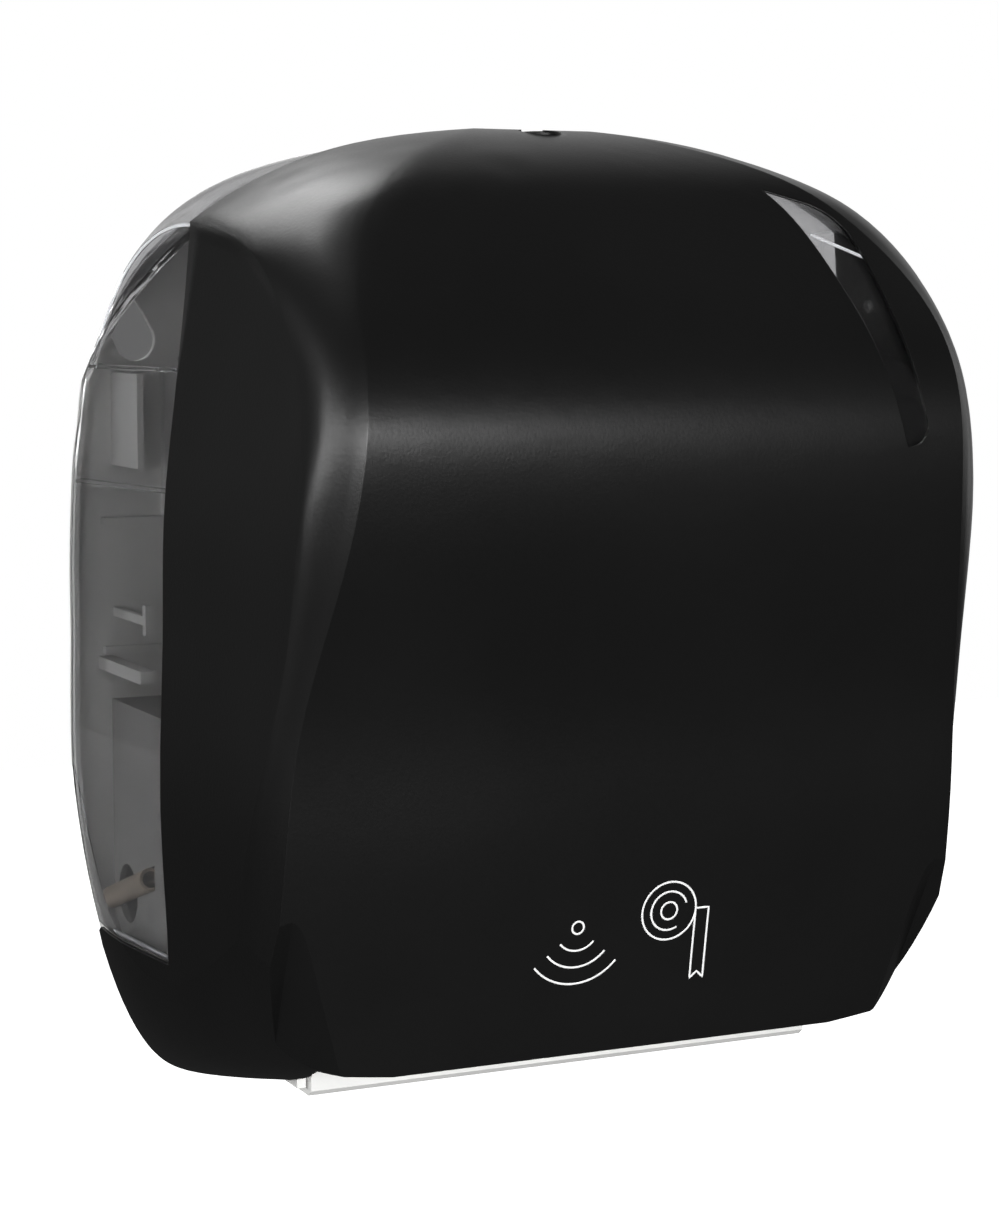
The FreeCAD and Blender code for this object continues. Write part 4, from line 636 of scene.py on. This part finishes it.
def floor_paint(look):
    """Pale matt paint: white to the eye and through clear walls, dark in gloss, and grey in the light that it
    throws back, so that it doesn't lighten the dispenser from below."""
    paint = bpy.data.materials.new("floor_paint_pale")
    paint.use_nodes = True
    tree = paint.node_tree
    tree.nodes.clear()
    path = put(tree, "ShaderNodeLightPath").outputs
    straight = put(tree, "ShaderNodeMath", {0: path["Is Camera Ray"], 1: path["Is Transmission Ray"]},
                   operation="MAXIMUM")
    other = put(tree, "ShaderNodeMix", {"Factor": path["Is Glossy Ray"], "A": look.floor_lit,
                                        "B": look.floor_mirrored})
    level = put(tree, "ShaderNodeMix", {"Factor": straight.outputs[0], "A": other.outputs["Result"],
                                        "B": 1.0})
    matt = put(tree, "ShaderNodeBsdfDiffuse", {"Color": level.outputs["Result"]})
    glow = put(tree, "ShaderNodeMath", {0: path["Is Camera Ray"], 1: look.floor_glow}, operation="MULTIPLY")
    bright = put(tree, "ShaderNodeEmission", {"Strength": glow.outputs[0]})
    both = put(tree, "ShaderNodeAddShader", {0: matt.outputs[0], 1: bright.outputs[0]})
    put(tree, "ShaderNodeOutputMaterial", {"Surface": both.outputs[0]})
    return paint


def room_level(tree, look):
    """The room's level: white to the eye and through two clear walls, dim through one, and for gloss dark
    but for the backdrop behind the dispenser, whose level falls smoothly with the angle from its middle."""
    path = put(tree, "ShaderNodeLightPath").outputs
    ray = put(tree, "ShaderNodeTexCoord").outputs["Generated"]
    nearness = put(tree, "ShaderNodeVectorMath", {0: ray, 1: BACKDROP}, operation="DOT_PRODUCT")
    behind = put(tree, "ShaderNodeMapRange", {"Value": nearness.outputs["Value"],
                                              "From Min": BACKDROP_NEARNESS[0],
                                              "From Max": BACKDROP_NEARNESS[1],
                                              "To Min": look.mirrored_level, "To Max": look.backdrop_level},
                 interpolation_type="SMOOTHSTEP")
    lit = put(tree, "ShaderNodeMix", {"Factor": path["Is Glossy Ray"], "A": look.world_level,
                                      "B": behind.outputs["Result"]})
    walls = put(tree, "ShaderNodeMath", {0: path["Transmission Depth"], 1: ONE_WALL}, operation="GREATER_THAN")
    clear = put(tree, "ShaderNodeMath", {0: path["Diffuse Depth"], 1: UNSCATTERED}, operation="LESS_THAN")
    through = put(tree, "ShaderNodeMath", {0: path["Is Transmission Ray"], 1: clear.outputs[0]},
                  operation="MULTIPLY")
    seen = put(tree, "ShaderNodeMix", {"Factor": walls.outputs[0], "A": look.hole_level, "B": 1.0})
    inner = put(tree, "ShaderNodeMix", {"Factor": through.outputs[0], "A": lit.outputs["Result"],
                                        "B": seen.outputs["Result"]})
    whole = put(tree, "ShaderNodeMix", {"Factor": path["Is Camera Ray"], "A": inner.outputs["Result"],
                                        "B": 1.0})
    return whole.outputs["Result"]


class DISPENSER_OT_stage(bpy.types.Operator):
    """Make the floor, the light and the camera."""
    bl_idname = "dispenser.stage"
    bl_label = "Stage"

    def execute(self, context):
        scene = context.scene
        look = scene.dispenser_stage

        mesh = bpy.data.meshes.new("floor")
        low = -look.floor_drop
        mesh.from_pydata([(-FLOOR_HALF, -FLOOR_HALF, low), (FLOOR_HALF, -FLOOR_HALF, low),
                          (FLOOR_HALF, FLOOR_HALF, low), (-FLOOR_HALF, FLOOR_HALF, low)], [], [(0, 1, 2, 3)])
        mesh.materials.append(floor_paint(look))
        floor = bpy.data.objects.new("floor", mesh)
        scene.collection.objects.link(floor)

        scene.world = bpy.data.worlds.new("room")
        scene.world.use_nodes = True
        tree = scene.world.node_tree
        background = tree.nodes["Background"]
        background.inputs["Color"].default_value = (1.0, 1.0, 1.0, 1.0)
        tree.links.new(room_level(tree, look), background.inputs["Strength"])

        for name, place, width, height, power in LAMPS:
            lamp(name, place, width, height, getattr(look, power))

        data = bpy.data.cameras.new("camera")
        data.sensor_fit = "VERTICAL"
        data.sensor_height = SENSOR_HEIGHT
        data.sensor_width = SENSOR_HEIGHT * PICTURE_WIDTH / PICTURE_HEIGHT
        data.lens = LENS
        camera = bpy.data.objects.new("camera", data)
        camera.location = CAMERA_PLACE
        camera.rotation_euler = facing(CAMERA_PLACE, CAMERA_AIM)
        scene.collection.objects.link(camera)
        scene.camera = camera
        scene.view_settings.view_transform = "Standard"
        return {"FINISHED"}


class DISPENSER_PT_panel(bpy.types.Panel):
    """The settings and the steps in the sidebar."""
    bl_idname = "DISPENSER_PT_panel"
    bl_label = "Dispenser"
    bl_space_type = "VIEW_3D"
    bl_region_type = "UI"
    bl_category = "Dispenser"

    def draw(self, context):
        for group_name, group in SETTINGS.items():
            settings = getattr(context.scene, group_name)
            for setting in group.__annotations__:
                self.layout.prop(settings, setting)
        for step in STEPS:
            self.layout.operator(step.bl_idname)


SETTINGS = {
    "dispenser_colours": DispenserColours,
    "dispenser_sizes": DispenserSizes,
    "dispenser_stage": DispenserStage,
}
STEPS = (
    DISPENSER_OT_cover,
    DISPENSER_OT_symbols,
    DISPENSER_OT_plate,
    DISPENSER_OT_frames,
    DISPENSER_OT_drive,
    DISPENSER_OT_holder,
    DISPENSER_OT_batteries,
    DISPENSER_OT_outlet,
    DISPENSER_OT_stage,
)
CLASSES = tuple(SETTINGS.values()) + STEPS + (DISPENSER_PT_panel,)


def register():
    for item in CLASSES:
        bpy.utils.register_class(item)
    for name, group in SETTINGS.items():
        setattr(bpy.types.Scene, name, bpy.props.PointerProperty(type=group))


def unregister():
    for name in SETTINGS:
        delattr(bpy.types.Scene, name)
    for item in reversed(CLASSES):
        bpy.utils.unregister_class(item)


def main():
    """Register and run the steps in order."""
    register()
    for step in STEPS:
        group, name = step.bl_idname.split(".")
        getattr(getattr(bpy.ops, group), name)()


if __name__ == "__main__":
    main()
